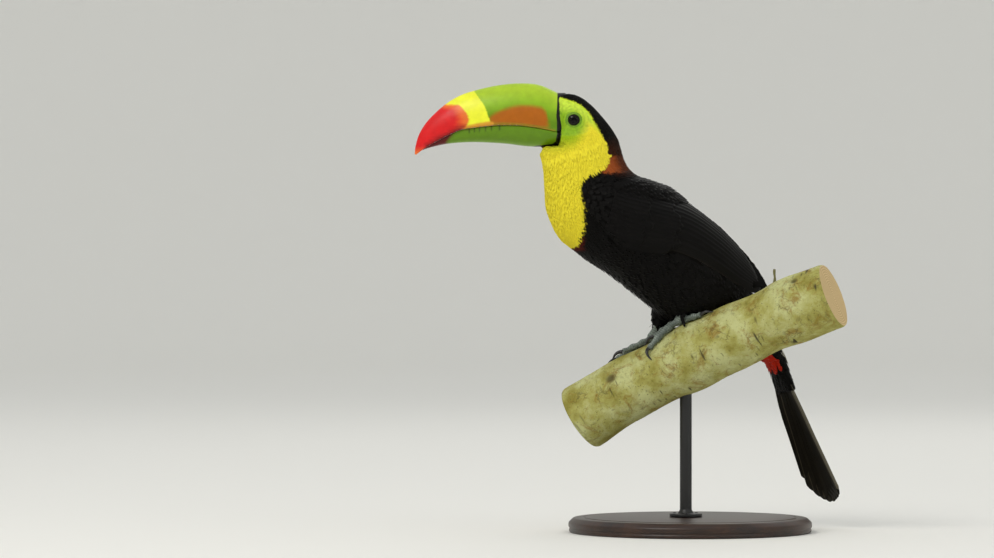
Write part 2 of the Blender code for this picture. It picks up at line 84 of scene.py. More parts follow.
# Upper mandible: ridge X and Z, cutting edge X and Z, half width, in mm in the head's frame
UPPER_STATIONS = np.array((
    (-25.1, 405.2, -25.1, 368.7, 16.8), (-42, 412.4, -40, 371.9, 17.0), (-60, 413.9, -56, 374.4, 16.6),
    (-79, 412.2, -72, 375.2, 15.9), (-97, 408.4, -87, 374.6, 14.9), (-113, 403.4, -101, 373.0, 13.6),
    (-126, 396.0, -114, 370.9, 12.0), (-137, 386.8, -125, 366.2, 10.1), (-146, 377.0, -134.5, 361.2, 8.0),
    (-152, 366.8, -142.5, 356.9, 5.9), (-155, 356.5, -149, 352.9, 3.4), (-155.8, 349.2, -154.4, 348.7, 0.6),
))
# Lower mandible: keel X and Z, cutting edge X and Z, half width, in mm
LOWER_STATIONS = np.array((
    (-25.1, 357.0, -25.1, 368.7, 16.4), (-39, 356.0, -40, 371.9, 15.9), (-55, 356.6, -56, 374.4, 15.0),
    (-71, 358.6, -72, 375.2, 13.9), (-87, 359.7, -87, 374.6, 12.7), (-102, 360.2, -101, 373.0, 11.2),
    (-117, 359.6, -114, 370.9, 9.4), (-129, 358.2, -125, 366.2, 7.4), (-138, 356.2, -134.5, 361.2, 5.2),
    (-144.5, 354.4, -142.5, 356.9, 3.0), (-148.6, 352.9, -147.6, 353.9, 1.1),
))

# Folded wing: lower edge U, V and Z, upper edge U, V and Z, and outward bulge, in mm in the bird's frame
WING_STATIONS = np.array((
    (-100, 35.5, 311, -98, 33.0, 317, 1.2), (-98, 37.5, 298, -91, 30.0, 327, 5.0),
    (-88, 41.0, 282, -75, 26.5, 333, 10.5), (-70, 44.0, 268, -51, 23.0, 330, 15.0),
    (-43, 45.5, 261, -20, 19.0, 320, 16.5), (-10, 44.5, 257, 13, 15.0, 307, 14.0),
    (24, 40.0, 243, 45, 11.0, 286, 10.5), (54, 31.5, 229, 71, 8.5, 263, 6.5),
    (78, 22.5, 223, 88, 7.5, 244, 3.0), (93.5, 15.5, 224, 96, 10.0, 229, 0.6),
))
WING_LAST = len(WING_STATIONS) - 1

# Tail: its root in the bird's frame, its run, its twist, and how much shorter each feather is than the middle
TAIL_ROOT = np.array([0.1085, 0.0, 0.1610])
TAIL_DIRECTION = np.array([0.402, 0.0, -0.916]) / math.hypot(0.402, 0.916)
TAIL_TWIST = math.radians(-18)
TAIL_LENGTH = 0.1464
TAIL_HALF_WIDTHS = np.array((0.0155, 0.0154, 0.0160, 0.0172, 0.0188, 0.0207, 0.0225, 0.0240))
TAIL_ROOF = 0.0035
NEAR_STEPS = (0.0, 0.002, 0.004, 0.007, 0.013)
FAR_STEPS = (0.0, 0.003, 0.007, 0.014, 0.028)

# Perch: its axis in X and Z, in mm, and its turn about the vertical
PERCH_AXIS = np.array(((-100, 103.5), (-62, 128), (-24, 148), (14, 167), (52, 185.5), (90, 203), (128, 218)))
PERCH_YAW = math.radians(-20)
PERCH_TURN_X = -0.008
PERCH_RADIUS = 0.0302
PERCH_GAP = 0.0005

# Feet: X of the ball of the foot and its angle round the perch from the top, towards +Y; each toe's heading
# from the perch's downhill direction towards -Y in degrees, its length, and its radius at root and tip
BALLS = {"left": (0.006, math.radians(-12)), "right": (-0.023, math.radians(9))}
TOES = {
    "left": (
        ("outer_front", 30, 0.0370, 0.0036, 0.0025),
        ("inner_front", 4, 0.0270, 0.0034, 0.0024),
        ("outer_back", 164, 0.0240, 0.0034, 0.0024),
        ("inner_back", 196, 0.0170, 0.0032, 0.0023),
    ),
    "right": (
        ("outer_front", -9, 0.0400, 0.0036, 0.0025),
        ("inner_front", 17, 0.0290, 0.0034, 0.0024),
        ("outer_back", 205, 0.0330, 0.0034, 0.0024),
        ("inner_back", 174, 0.0190, 0.0032, 0.0023),
    ),
}
BALL_HEIGHT = 0.0048
SHANK_HEIGHTS = (-0.0030, 0.0004, 0.0045, 0.0110, 0.0190, 0.0270)
SHANK_RADII = (0.0026, 0.0044, 0.0038, 0.0031, 0.0031, 0.0034)
CLAW_GAP = 0.0011
CLAW_LENGTH = 0.0115
# How far the claws that grip the near side turn off from their toes, at the root and along them, in radians
CLAW_HOOKS = {("left", "outer_front"): (0.45, 1.2), ("right", "outer_front"): (0.1, 0.5)}

# Stand
ROD_RADIUS = 0.0055
FLANGE_RADIUS = 0.015
FLANGE_THICKNESS = 0.003

# ---------------------------------------------------------------- markings, on the coat's own coordinates
# t runs from 0 at the bill's base to 9 at the tail's root, and a from 0 on the under side to 1 on the upper

# Upper limit of yellow and face, lower limit of black
BLACK_BORDER = np.array((
    (0.0, 0.94), (0.33, 0.905), (0.69, 0.88), (1.01, 0.875), (1.21, 0.87), (1.45, 0.85), (1.67, 0.83),
    (1.92, 0.82), (2.37, 0.81), (2.56, 0.78), (2.71, 0.72), (2.86, 0.57), (2.94, 0.41), (3.26, 0.30),
    (3.53, 0.26), (3.83, 0.22), (4.20, 0.16), (4.47, 0.09), (4.69, 0.04), (4.78, 0.0), (5.0, -0.2),
)).T
# Bare face: t of its rear limit at each a; the first few places are its lower limit too
FACE_BORDER = np.array(
    (
        (0.16, 0.0), (0.25, 0.55), (0.33, 1.10), (0.42, 1.38),
        (0.52, 1.54), (0.65, 1.60), (0.78, 1.54), (0.9, 1.35),
    )
).T
# X of the rear limit of the black line at the bill's base at each height Z, in mm in the head's frame
BASE_LINE = (
    (354, 356, 360.5, 367, 374.4, 384, 393, 402, 406),
    (-25.4, -25.0, -23.2, -22.2, -22.6, -23.5, -23.6, -24.6, -24.9),
)
# How far the skin lies under the coat on the body
COAT_DEPTH = 0.0026
# About how many mm one step of t covers on the head, and one of a
T_TO_MM, A_TO_MM = 13.0, 44.0


def linear(colour):
    """An sRGB hex colour as linear red, green and blue."""
    shares = (int(colour[i : i + 2], 16) / 255 for i in (1, 3, 5))
    return tuple(s / 12.92 if s <= 0.04045 else ((s + 0.055) / 1.055) ** 2.4 for s in shares)


def hue(name, description, colour):
    default = linear(colour)
    return FloatVectorProperty(
        name=name, description=description, default=default, size=3, subtype="COLOR", min=0, max=1
    )


def power(name, description, default):
    return FloatProperty(name=name, description=description, default=default, min=0, unit="POWER")


def measure(name, description, default):
    return FloatProperty(
        name=name, description=description, default=default, min=0, unit="LENGTH", precision=5
    )


class PlumageSettings(bpy.types.PropertyGroup):
    """The coat and the colours that skin and feathers share."""

    coat_depth: measure(
        "Coat depth", "How far the skin lies under the tips of the body's feathers", COAT_DEPTH
    )
    voxel: measure("Skin grain", "Size of the skin's faces before the face is refined", 0.00134)
    thickness: measure("Vane thickness", "Thickness of a small feather at its shaft", 0.0002)
    seed: IntProperty(name="Seed", description="Start of every random draw of the coat", default=11, min=0)
    black: hue("Black", "Body, wings and crown", "#0C0B0A")
    crown: hue("Crown", "Crown and sides of the nape", "#0F0E0A")
    maroon: hue("Maroon", "Lower nape and upper mantle", "#9C4E24")
    bib: hue("Bib", "Throat and breast", "#F4E53A")
    bib_deep: hue("Bib, deep", "Lower bib and the bib's shaded barbs", "#EAD833")
    band: hue("Breast band", "Narrow red band under the bib", "#4A160E")
    rump: hue("Rump", "Upper tail coverts", "#E9E4CF")
    crissum: hue("Under tail", "Under tail coverts", "#B82A18")
    wing_edge: hue("Wing edge", "Edges of primaries and secondaries", "#1A1713")
    tail: hue("Tail", "Tail feathers", "#1B1812")
    shaft: hue("Shafts", "Shafts of the tail feathers", "#4A4438")
    # A paler line along the outermost tail feather's outer edge is a painted highlight
    wear_and_highlight: hue("Edge highlight", "Outer edge of the outermost tail feather", "#7A7464")


class FaceSettings(bpy.types.PropertyGroup):
    """Bare face, lids and eyes."""

    opening: measure("Lid opening", "Radius of the opening between the lids", 0.0053)
    skin: hue("Face skin", "Bare skin around the eye", "#8CB818")
    # The fold colour also paints the shade in the groove round the lids
    fold: hue("Face folds", "Creases and folds", "#5F8A12")
    lid: hue("Lids", "Rim of the lids", "#6C9420")
    brow: hue("Brow", "Between the eye and the crown", "#CDE93E")
    iris: hue("Iris", "Dark iris", "#15120A")
    pupil: hue("Pupil", "Pupil", "#030204")


class BillSettings(bpy.types.PropertyGroup):
    """Horn of the bill."""

    tooth_spacing: measure("Tooth spacing", "Distance between notches of the cutting edge", 0.0055)
    # These hold painted light: a painted highlight on the ridge, and painted shade beside the cutting edge and
    # on the lower mandible
    green: hue("Green", "Side of the upper mandible", "#8FB91C")
    crest_highlight: hue("Crest", "Ridge of the upper mandible", "#ACCC2B")
    shaded_green: hue("Deep green", "Beside the cutting edge and on the lower mandible", "#648D0F")
    orange: hue("Orange", "Panel on the side", "#B3620A")
    yellow: hue("Yellow", "Zone in front of the panel", "#F3F636")
    amber: hue("Amber", "Streak along the cutting edge", "#E2A030")
    red: hue("Red", "Tip", "#DC181C")
    rust: hue("Rust", "Rear limit of the red tip", "#F07A30")
    dark_red: hue("Dark red", "Tip of the lower mandible", "#600202")
    rim: hue("Rim", "Black line around the base", "#0E0D0A")


class FootSettings(bpy.types.PropertyGroup):
    """Feet and claws."""

    grain: measure("Foot grain", "Size of the faces of a foot", 0.0005)
    scute: measure("Scute spacing", "Length of a scale on the top of a toe", 0.0021)
    light: hue("Scale", "Raised middle of a scale", "#879188")
    dark: hue("Seam", "Skin between the scales", "#3E4640")
    claw: hue("Claw", "Horn of the claws", "#1C1B1B")


class PerchSettings(bpy.types.PropertyGroup):
    """The cut branch."""

    pale: hue("Pale bark", "Smooth bark", "#C4C68A")
    ochre: hue("Ochre", "Weathered patches", "#ABA75E")
    stain: hue("Stain", "Brown stains in the hollows", "#8C6A28")
    dark: hue("Dark", "Deepest patches", "#918A40")
    crack: hue("Cracks", "Cracks and scars", "#4B452F")
    wood: hue("Wood", "Sawn wood", "#D8BE8C")
    heart: hue("Heart", "Late wood and heart", "#A98552")


class StandSettings(bpy.types.PropertyGroup):
    """Base and rod."""

    wood: hue("Wood", "Stained beech", "#3B2416")
    pore: hue("Pores", "Grain filled with stain", "#1C100A")
    paint: hue("Paint", "Satin black paint", "#151515")


class StageSettings(bpy.types.PropertyGroup):
    """Floor, lights and camera."""

    floor: hue("Floor", "Pale floor and backdrop", "#F1F0EB")
    key: power("Key light", "Power of the main light", 42)
    fill: power("Fill light", "Power of the light opposite", 8)
    rim: power("Rim light", "Power of the light behind", 10)
    sky: FloatProperty(name="Sky", description="Strength of the light from all round", default=0.8, min=0)
    lens: FloatProperty(name="Lens", description="Focal length", default=157.5, min=1, unit="CAMERA")


GROUPS = {
    "toucan_plumage": PlumageSettings,
    "toucan_face": FaceSettings,
    "toucan_bill": BillSettings,
    "toucan_foot": FootSettings,
    "toucan_perch": PerchSettings,
    "toucan_stand": StandSettings,
    "toucan_stage": StageSettings,
}

# ---------------------------------------------------------------- curves, coordinates and meshes


def along(table, t):
    """Smooth values at t, counted in rows, through evenly spaced rows of a table."""
    table = np.asarray(table, float)
    t = np.asarray(t, float)
    last = len(table) - 1
    i = np.clip(np.floor(t).astype(int), 0, last - 1)
    f = t - i
    if table.ndim > 1:
        f = f[..., None]
    padded = np.concatenate([2 * table[:1] - table[1:2], table, 2 * table[-1:] - table[-2:-1]])
    a, b, c, d = padded[i], padded[i + 1], padded[i + 2], padded[i + 3]
    return b + 0.5 * f * ((c - a) + f * (2 * a - 5 * b + 4 * c - d + f * (3 * b - a - 3 * c + d)))


def smoothstep(low, high, x):
    share = np.clip((x - low) / (high - low), 0, 1)
    return share * share * (3 - 2 * share)


def unit(vectors):
    return vectors / np.maximum(np.linalg.norm(vectors, axis=-1, keepdims=True), 1e-12)


def turned(points, angle):
    """Points turned about Z, by one angle or one each."""
    c, s = np.cos(angle), np.sin(angle)
    x, y = points[..., 0], points[..., 1]
    return np.stack([c * x - s * y, s * x + c * y, points[..., 2]], -1)


def bird_to_world(points):
    return turned(points, BODY_YAW) + BIRD_PLACE


def world_to_bird(points):
    return turned(points - BIRD_PLACE, -BODY_YAW)


def lie_cuts(t):
    cut = along(LIE, t)
    return cut[..., 0:2] * MM, cut[..., 2:4] * MM, cut[..., 4]


def head_turned(points, share):
    """Points in the bird's frame, turned about the neck by a share of the head's turn."""
    axis = np.array([NECK_AXIS_U, 0, 0])
    return turned(points - axis, BODY_YAW * share) + axis


def coat_place(points):
    """Where points lie on the coat: t along it, a from its under side to its upper side, and v across it."""
    bird = world_to_bird(points)
    steps = np.linspace(0, len(LIE) - 1, LIE_STEPS)
    low, high, share = lie_cuts(steps)
    side = unit(np.stack([high[:, 1] - low[:, 1], low[:, 0] - high[:, 0]], 1))
    ahead = np.stack([(head_turned(bird, share[k])[:, [0, 2]] - low[k]) @ side[k] for k in range(LIE_STEPS)])
    past = ahead > 0
    crossing = past[:-1] & ~past[1:]
    found = crossing.any(0)
    before = ~past[0]
    k = np.where(found, np.argmax(crossing, 0), np.where(before, 0, LIE_STEPS - 2))
    every = np.arange(len(points))
    one, two = ahead[k, every], ahead[k + 1, every]
    part = np.where(found, one / (one - two + 1e-12), np.where(before, 0, 1))
    t = steps[k] + part * (steps[1] - steps[0])
    low, high, share = lie_cuts(t)
    straight = head_turned(bird, share)
    rise = high - low
    a = ((straight[:, [0, 2]] - low) * rise).sum(1) / (rise**2).sum(1)
    return t, a, straight[:, 1]


def coat_point(t, a, v):
    """The point at those coordinates, in the world."""
    low, high, share = lie_cuts(t)
    flat = low + (high - low) * a[:, None]
    return bird_to_world(head_turned(np.stack([flat[:, 0], v, flat[:, 1]], 1), -share))


def wing_surface(s, w, side):
    """A point of the folded wing's outer side and its outward direction; s counts stations, w is 0 to 1."""
    s, w = np.broadcast_arrays(np.asarray(s, float), np.asarray(w, float))

    def lower_upper(at):
        rows = along(WING_STATIONS, np.clip(at, -0.2, WING_LAST + 0.3)) * MM
        return rows[..., 0:3], rows[..., 3:6], rows[..., 6]

    def point(at, up):
        lower, upper, _ = lower_upper(at)
        return lower + (upper - lower) * up[..., None]

    lower, upper, bulge = lower_upper(s)
    forward = unit(point(s + 0.15, w * 0) - point(s - 0.15, w * 0))
    rise = upper - lower
    flat_out = unit(np.cross(rise, forward))
    flat_out = np.where(flat_out[..., 1:2] < 0, -flat_out, flat_out)
    place = lower + rise * w[..., None] + flat_out * (bulge * 4 * w * (1 - w))[..., None]
    slope = bulge * 4 * (1 - 2 * w)
    tangent = unit(rise + flat_out * slope[..., None])
    out = unit(np.cross(tangent, forward))
    out = np.where((out * flat_out).sum(-1, keepdims=True) < 0, -out, out)
    mirror = np.array([1, side, 1])
    return bird_to_world(place * mirror), turned(out * mirror, BODY_YAW)


def tail_half(d):
    return along(TAIL_HALF_WIDTHS, np.clip(d, 0, 1) * (len(TAIL_HALF_WIDTHS) - 1))


def tail_surface(d, x):
    """A point of the tail's middle surface and its upper side's direction: d is 0 to 1 down it, x across."""
    d, x = np.broadcast_arrays(np.asarray(d, float), np.asarray(x, float))
    settle = np.clip(3 * d, 0, 1)
    twist = Matrix.Rotation(TAIL_TWIST, 3, Vector(TAIL_DIRECTION))
    high, wide = (
        unit(start + (np.array(twist @ Vector(start)) - start) * settle[..., None])
        for start in (np.array([-TAIL_DIRECTION[2], 0, TAIL_DIRECTION[0]]), np.array([0.0, 1.0, 0.0]))
    )
    half = tail_half(d)
    share = x / half
    sag = -TAIL_ROOF * settle * share**2
    centre = TAIL_ROOT + TAIL_DIRECTION * (TAIL_LENGTH * d)[..., None]
    place = centre + wide * x[..., None] + high * sag[..., None]
    out = unit(high + wide * (2 * TAIL_ROOF * settle * share / half)[..., None])
    return bird_to_world(place), turned(out, BODY_YAW)


def perch_frame(x):
    """The perch's axis at X = x: its place, its uphill direction, and square to that up and towards +Y."""
    xs = PERCH_AXIS[:, 0] * MM
    t = (x - xs[0]) / (xs[-1] - xs[0]) * (len(xs) - 1)

    def place(at):
        on_x, on_z = np.moveaxis(along(PERCH_AXIS, at), -1, 0) * MM
        return np.stack([on_x, (on_x - PERCH_TURN_X) * math.tan(PERCH_YAW), on_z], -1)

    uphill = unit(place(t + 0.06) - place(t - 0.06))
    far = unit(np.cross(np.array([0, 0, 1.0]), uphill))
    return place(t), uphill, np.cross(uphill, far), far


def perch_radius(x):
    return PERCH_RADIUS + 0.0009 * np.sin(x * 62 + 0.8) + 0.0006 * np.sin(x * 131 + 2)


def on_perch(x, angle, height):
    """A point over the perch's surface, at an angle from its top towards +Y."""
    place, _, up, far = perch_frame(x)
    radius = perch_radius(x) + height
    return place + (up * np.cos(angle)[..., None] + far * np.sin(angle)[..., None]) * radius[..., None]


def over_perch(ball, down, near, height):
    """Points over the perch's surface, that far downhill and towards -Y from the ball of the foot."""
    x, angle = ball
    _, uphill, _, _ = perch_frame(x)
    return on_perch(x - down * uphill[0], angle - near / PERCH_RADIUS, height)


def node_box(name):
    low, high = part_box(name)
    return np.array(low), np.array(high)


def build_mesh(name, points, *face_groups):
    """A mesh from arrays of points and of faces, each group with one number of corners."""
    mesh = bpy.data.meshes.new(name)
    mesh.vertices.add(len(points))
    mesh.vertices.foreach_set("co", np.asarray(points, np.float32).ravel())
    groups = [np.asarray(g, np.int32) for g in face_groups if len(g)]
    corners = np.concatenate([g.ravel() for g in groups])
    sizes = np.concatenate([np.full(len(g), g.shape[1], np.int32) for g in groups])
    mesh.loops.add(len(corners))
    mesh.loops.foreach_set("vertex_index", corners)
    mesh.polygons.add(len(sizes))
    mesh.polygons.foreach_set("loop_start", np.concatenate([[0], np.cumsum(sizes)[:-1]]).astype(np.int32))
    mesh.update(calc_edges=True)
    mesh.shade_smooth()
    return mesh


def read(items, field, width=1, kind=np.float32):
    """A field of a mesh's points, corners, edges or faces, as rows of that width."""
    values = np.empty(len(items) * width, kind)
    items.foreach_get(field, values)
    return values.reshape(-1, width) if width > 1 else values


def mesh_points(mesh):
    return read(mesh.vertices, "co", 3).astype(float)


def mesh_normals(mesh):
    return read(mesh.vertex_normals, "vector", 3).astype(float)


def set_points(mesh, points):
    mesh.vertices.foreach_set("co", np.asarray(points, np.float32).ravel())
    mesh.update()


def add_attribute(mesh, name, values):
    """A value, vector or tint for each vertex, which the materials read by name."""
    values = np.asarray(values, np.float32)
    kind, field = ("FLOAT", "value") if values.ndim == 1 else ("FLOAT_VECTOR", "vector")
    if name == "tint":
        kind, field = "FLOAT_COLOR", "color"
        values = np.pad(values, ((0, 0), (0, 1)), constant_values=1)
    mesh.attributes.new(name, kind, "POINT").data.foreach_set(field, values.ravel())


def add_map(mesh, places):
    """The map that the bake uses, from one place on it for each vertex."""
    layer = mesh.uv_layers.new(name="OFBake")
    corners = read(mesh.loops, "vertex_index", 1, np.int32)
    layer.data.foreach_set("uv", np.asarray(places, np.float32)[corners].ravel())


def add_object(name, data):
    made = bpy.data.objects.new(name, data)
    bpy.context.scene.collection.objects.link(made)
    return made


def add_piece(mesh, materials, replaced=()):
    """A piece of the model, which rides on the one body, with its finish and the solids it stands for."""
    piece = add_object(mesh.name, mesh)
    for finish in materials:
        mesh.materials.append(finish)
    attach(piece, "root")
    if replaced:
        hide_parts(*replaced)


def set_finishes(mesh, index):
    """Gives each face the number of its finish."""
    mesh.polygons.foreach_set("material_index", np.asarray(index, np.int32))
    mesh.update()


def applied(mesh, *modifiers):
    """The mesh after modifiers, each given as a kind and its settings."""
    holder = add_object("holder", mesh)
    for kind, settings in modifiers:
        modifier = holder.modifiers.new(kind.lower(), kind)
        for key, value in settings.items():
            setattr(modifier, key, value)
    made = bpy.data.meshes.new_from_object(holder.evaluated_get(bpy.context.evaluated_depsgraph_get()))
    bpy.data.objects.remove(holder)
    return made


def remeshing(grain):
    return "REMESH", {"mode": "VOXEL", "voxel_size": grain, "adaptivity": 0.0}


def smoothing(rounds):
    return "SMOOTH", {"factor": 0.5, "iterations": rounds}


@contextmanager
def edited(mesh):
    """The mesh as a bmesh, written back at the end."""
    bm = bmesh.new()
    bm.from_mesh(mesh)
    yield bm
    bm.to_mesh(mesh)
    bm.free()


def face_outward(mesh):
    with edited(mesh) as bm:
        bmesh.ops.recalc_face_normals(bm, faces=bm.faces)


def grid_faces(rows, columns, closed):
    """Faces between rows of points; closed joins each row's end to its start."""
    across = columns if closed else columns - 1
    i, j = np.meshgrid(np.arange(rows - 1), np.arange(across), indexing="ij")
    k = (j + 1) % columns
    corners = i * columns + j, i * columns + k, (i + 1) * columns + k, (i + 1) * columns + j
    return np.stack(corners, -1).reshape(-1, 4)


def lofted(name, rings):
    """A closed mesh through rings of points, with a fan to a middle point at each end."""
    rows, columns, _ = rings.shape
    points = np.concatenate([rings.reshape(-1, 3), rings[:1].mean(1), rings[-1:].mean(1)])
    first, last = rows * columns, rows * columns + 1
    j = np.arange(columns)
    k = (j + 1) % columns
    start = np.stack([np.full(columns, first), k, j], 1)
    end = np.stack([np.full(columns, last), (rows - 1) * columns + j, (rows - 1) * columns + k], 1)
    return build_mesh(name, points, grid_faces(rows, columns, True), np.concatenate([start, end]))


def swept_rings(points, radii, sides):
    """Rings of a round tube along points, turned as little as possible from one to the next."""
    tangents = unit(np.gradient(points, axis=0))
    side = unit(np.cross(tangents[0], np.array([0.3, 0.2, 1.0])))
    angles = np.arange(sides) * 2 * math.pi / sides
    rings = []
    for point, tangent, radius in zip(points, tangents, radii):
        side = unit(side - tangent * (side @ tangent))
        other = np.cross(tangent, side)
        rings.append(point + (np.cos(angles)[:, None] * side + np.sin(angles)[:, None] * other) * radius)
    return np.array(rings)


def circle(count):
    """Angles evenly round a turn."""
    return np.arange(count) * 2 * math.pi / count


def lathe_rings(profile, steps):
    """Rings about Z through (radius, height) points."""
    angles = circle(steps)
    x, y = np.cos(angles), np.sin(angles)
    return np.array([np.stack([r * x, r * y, np.full(steps, z)], 1) for r, z in profile])


def joined(name, *meshes):
    bm = bmesh.new()
    for mesh in meshes:
        bm.from_mesh(mesh)
    made = bpy.data.meshes.new(name)
    bm.to_mesh(made)
    bm.free()
    return made


def noise_at(points, scale_mm, shift=0.0):
    """Smooth noise from -1 to 1 at each point, whose lumps are about that many mm across."""
    scaled = points / (scale_mm * MM) + shift
    return np.array([noise.noise(Vector(p)) for p in scaled.tolist()])


# ---------------------------------------------------------------- materials


def feed(made, inputs):
    """Gives inputs of a node, by name or number, each a value or the output that feeds it."""
    for key, value in inputs.items():
        socket = made.inputs[key]
        if isinstance(value, bpy.types.NodeSocket):
            made.id_data.links.new(value, socket)
        else:
            socket.default_value = (*value[:3], 1) if socket.type == "RGBA" else value


def node(tree, kind, inputs=(), out=0, stops=(), **settings):
    """Adds a node with its settings and links, and gives one of its outputs; inputs are named or in order."""
    made = tree.nodes.new("ShaderNode" + kind)
    for key, value in settings.items():
        setattr(made, key, value)
    feed(made, inputs if isinstance(inputs, dict) else dict(enumerate(inputs)))
    if stops:
        ramp = made.color_ramp
        while len(ramp.elements) < len(stops):
            ramp.elements.new(1)
        for element, (place, colour) in zip(ramp.elements, stops):
            element.position = place
            element.color = (*colour, 1)
    return made.outputs[out]


def new_material(name, roughness, level, **others):
    """A material, its tree and its shader, with the values that are the same all over."""
    made = bpy.data.materials.new(name)
    made.use_nodes = True
    shader = made.node_tree.nodes["Principled BSDF"]
    feed(shader, {"Roughness": roughness, "Specular IOR Level": level})
    feed(shader, {key.replace("_", " "): value for key, value in others.items()})
    return made, made.node_tree, shader


def feather_material(name, roughness, level, sheen, barb_light, bump):
    """Vanes of keratin: each feather's own colour, streaked by its barbs, with a paler or darker shaft."""
    made, tree, shader = new_material(name, roughness, level, Sheen_Weight=sheen, Sheen_Roughness=0.4)
    tint = node(tree, "Attribute", out="Color", attribute_name="tint")
    vane = node(tree, "Attribute", out="Vector", attribute_name="vane")
    across, lengthwise, luck = node(tree, "SeparateXYZ", (vane,)).node.outputs
    # Barbs leave the shaft at about 35 degrees, so a streak climbs along the vane as it nears the edge
    aside = node(tree, "Math", (across, 0.5), operation="SUBTRACT")
    off = node(tree, "Math", (aside,), operation="ABSOLUTE")
    slant = node(tree, "Math", (off, -0.9, lengthwise), operation="MULTIPLY_ADD")
    phase = node(tree, "Math", (slant, 22.0, luck), operation="MULTIPLY_ADD")
    spread = node(tree, "CombineXYZ", (phase, luck))
    barbs = node(tree, "TexNoise", {"Vector": spread, "Scale": 1.6, "Detail": 2.0})
    shade = node(tree, "MapRange", (barbs, 0.3, 0.7, 1 - barb_light, 1 + barb_light))
    shaded = node(tree, "VectorMath", (tint, shade), operation="MULTIPLY")
    relief = node(tree, "Bump", {"Height": barbs, "Strength": bump, "Distance": 0.0004})
    feed(shader, {"Base Color": shaded, "Normal": relief})
    return made


def skin_material(name, level):
    """Living skin: matt and thin under the feathers, creased and faintly waxy on the bare face."""
    made, tree, shader = new_material(
        name, 0.6, level, Subsurface_Weight=0.08, Subsurface_Radius=(0.002, 0.001, 0.0005)
    )
    tint = node(tree, "Attribute", out="Color", attribute_name="tint")
    bare = node(tree, "Attribute", out="Fac", attribute_name="bare")
    place = node(tree, "TexCoord", out="Object")
    # Papillae on the bare face are about 0.7 mm across
    pebbles = node(tree, "TexVoronoi", {"Vector": place, "Scale": 1400.0})
    folds = node(tree, "TexNoise", {"Vector": place, "Scale": 420.0, "Detail": 3.0})
    mixed = node(tree, "Math", (pebbles, folds), operation="ADD")
    depth = node(tree, "Math", (mixed, bare), operation="MULTIPLY")
    relief = node(tree, "Bump", {"Height": depth, "Strength": 0.45, "Distance": 0.0004})
    shade = node(tree, "MapRange", (folds, 0.35, 0.65, 0.9, 1.08))
    shaded = node(tree, "VectorMath", (tint, shade), operation="MULTIPLY")
    feed(shader, {"Base Color": shaded, "Normal": relief})
    return made


# ---------------------------------------------------------------- skin

SIDES = {"left": -1, "right": 1}
FLESH = ("head", "neck", "trunk", "thigh_left", "thigh_right", "wing_left", "wing_right")
# Kinds of ground for feathers, and the solids that lie under each
BODY, WING, THIGH, STUB, BILL = range(5)
GROUND = (
    ("head", "neck", "trunk", "eye_left", "eye_right"),
    ("wing_left", "wing_right"),
    ("thigh_left", "thigh_right"),
    ("tail",),
    ("bill_upper", "bill_lower"),
)
# How deep, in mm, the skin lies under wing, thigh, tail's root and bill, and at each t on the body
GROUND_DEPTHS = (2.3, 2.2, 2.0, 1.1)
BODY_DEPTHS = ((0, 1.3, 2.2, 3.2, 5.0, 9.0), (0.45, 0.55, 1.4, 2.1, 2.5, 2.3))
# The skin ends so far down the tail, and so far forward inside the bill
STUB_LENGTH = 0.034
BILL_CUT = HEAD_ORIGIN + np.array([-0.040, 0, 0.38])
# How far the chin comes forward under the bill, and X of the front of the face in the head's frame
CHIN_FORWARD = 0.0034
FACE_FRONT_X = -0.0250
# How far the chin's front corner comes forward at each height, in mm, on its way up to the keel
CHIN_CORNER = ((345, 351.5, 354, 357), (0, 0.3, 3.0, 7.0))
SKIN_SMOOTHING = 36
# How far from the eye's axis the skin's faces are halved, and halved again, and where it stops being shaped
FINE_REACHES = (15.5 * MM, 11.5 * MM)
EYE_REACH = 15 * MM
LID_STEPS = 96
# Faces that are this bare are given the finish of the face
BARE_SHARE = 0.3


def welded(name):
    """A solid's mesh with its split corners joined; tail and bill are cut off past their roots and closed."""
    bm = bmesh.new()
    bm.from_mesh(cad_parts[name].data)
    bmesh.ops.remove_doubles(bm, verts=bm.verts, dist=1e-6)
    cut = None
    if name == "tail":
        run = turned(TAIL_DIRECTION, BODY_YAW)
        cut = bird_to_world(TAIL_ROOT) + run * STUB_LENGTH, run
    elif name in GROUND[BILL]:
        cut = BILL_CUT, (-1, 0, 0)
    if cut:
        parts = bm.verts[:] + bm.edges[:] + bm.faces[:]
        bmesh.ops.bisect_plane(bm, geom=parts, plane_co=cut[0], plane_no=cut[1], clear_outer=True)
        bmesh.ops.holes_fill(bm, edges=[e for e in bm.edges if e.is_boundary], sides=0)
        bmesh.ops.recalc_face_normals(bm, faces=bm.faces)
    mesh = bpy.data.meshes.new(name)
    bm.to_mesh(mesh)
    bm.free()
    return mesh


def keep_largest_island(mesh):
    with edited(mesh) as bm:
        left, islands = set(bm.verts), []
        while left:
            front = {left.pop()}
            islands.append(set(front))
            while front:
                front = {edge.other_vert(vert) for vert in front for edge in vert.link_edges} & left
                left -= front
                islands[-1] |= front
        largest = max(islands, key=len)
        bmesh.ops.delete(bm, geom=[vert for vert in bm.verts if vert not in largest], context="VERTS")


def tree_of(*meshes):
    bm = bmesh.new()
    for mesh in meshes:
        bm.from_mesh(mesh)
    tree = BVHTree.FromBMesh(bm)
    bm.free()
    return tree


def distances(tree, points):
    return np.array([tree.find_nearest(p)[3] for p in points.tolist()])


def nearest_kind(trees, points):
    return np.argmin([distances(tree, points) for tree in trees], 0)


def relaxed(values, edges, rounds):
    """Values of the vertices, evened out over their neighbours."""
    count = len(values)
    one, two = edges.T
    degree = np.bincount(edges.ravel(), minlength=count).astype(float)
    for _ in range(rounds):
        total = np.bincount(one, values[two], count) + np.bincount(two, values[one], count)
        values = 0.5 * values + 0.5 * total / degree
    return values


def eye_centres():
    return {side: sum(node_box(f"eye_{side}")) / 2 for side in SIDES}


def eye_radius():
    low, high = node_box("eye_left")
    return (high[2] - low[2]) / 2


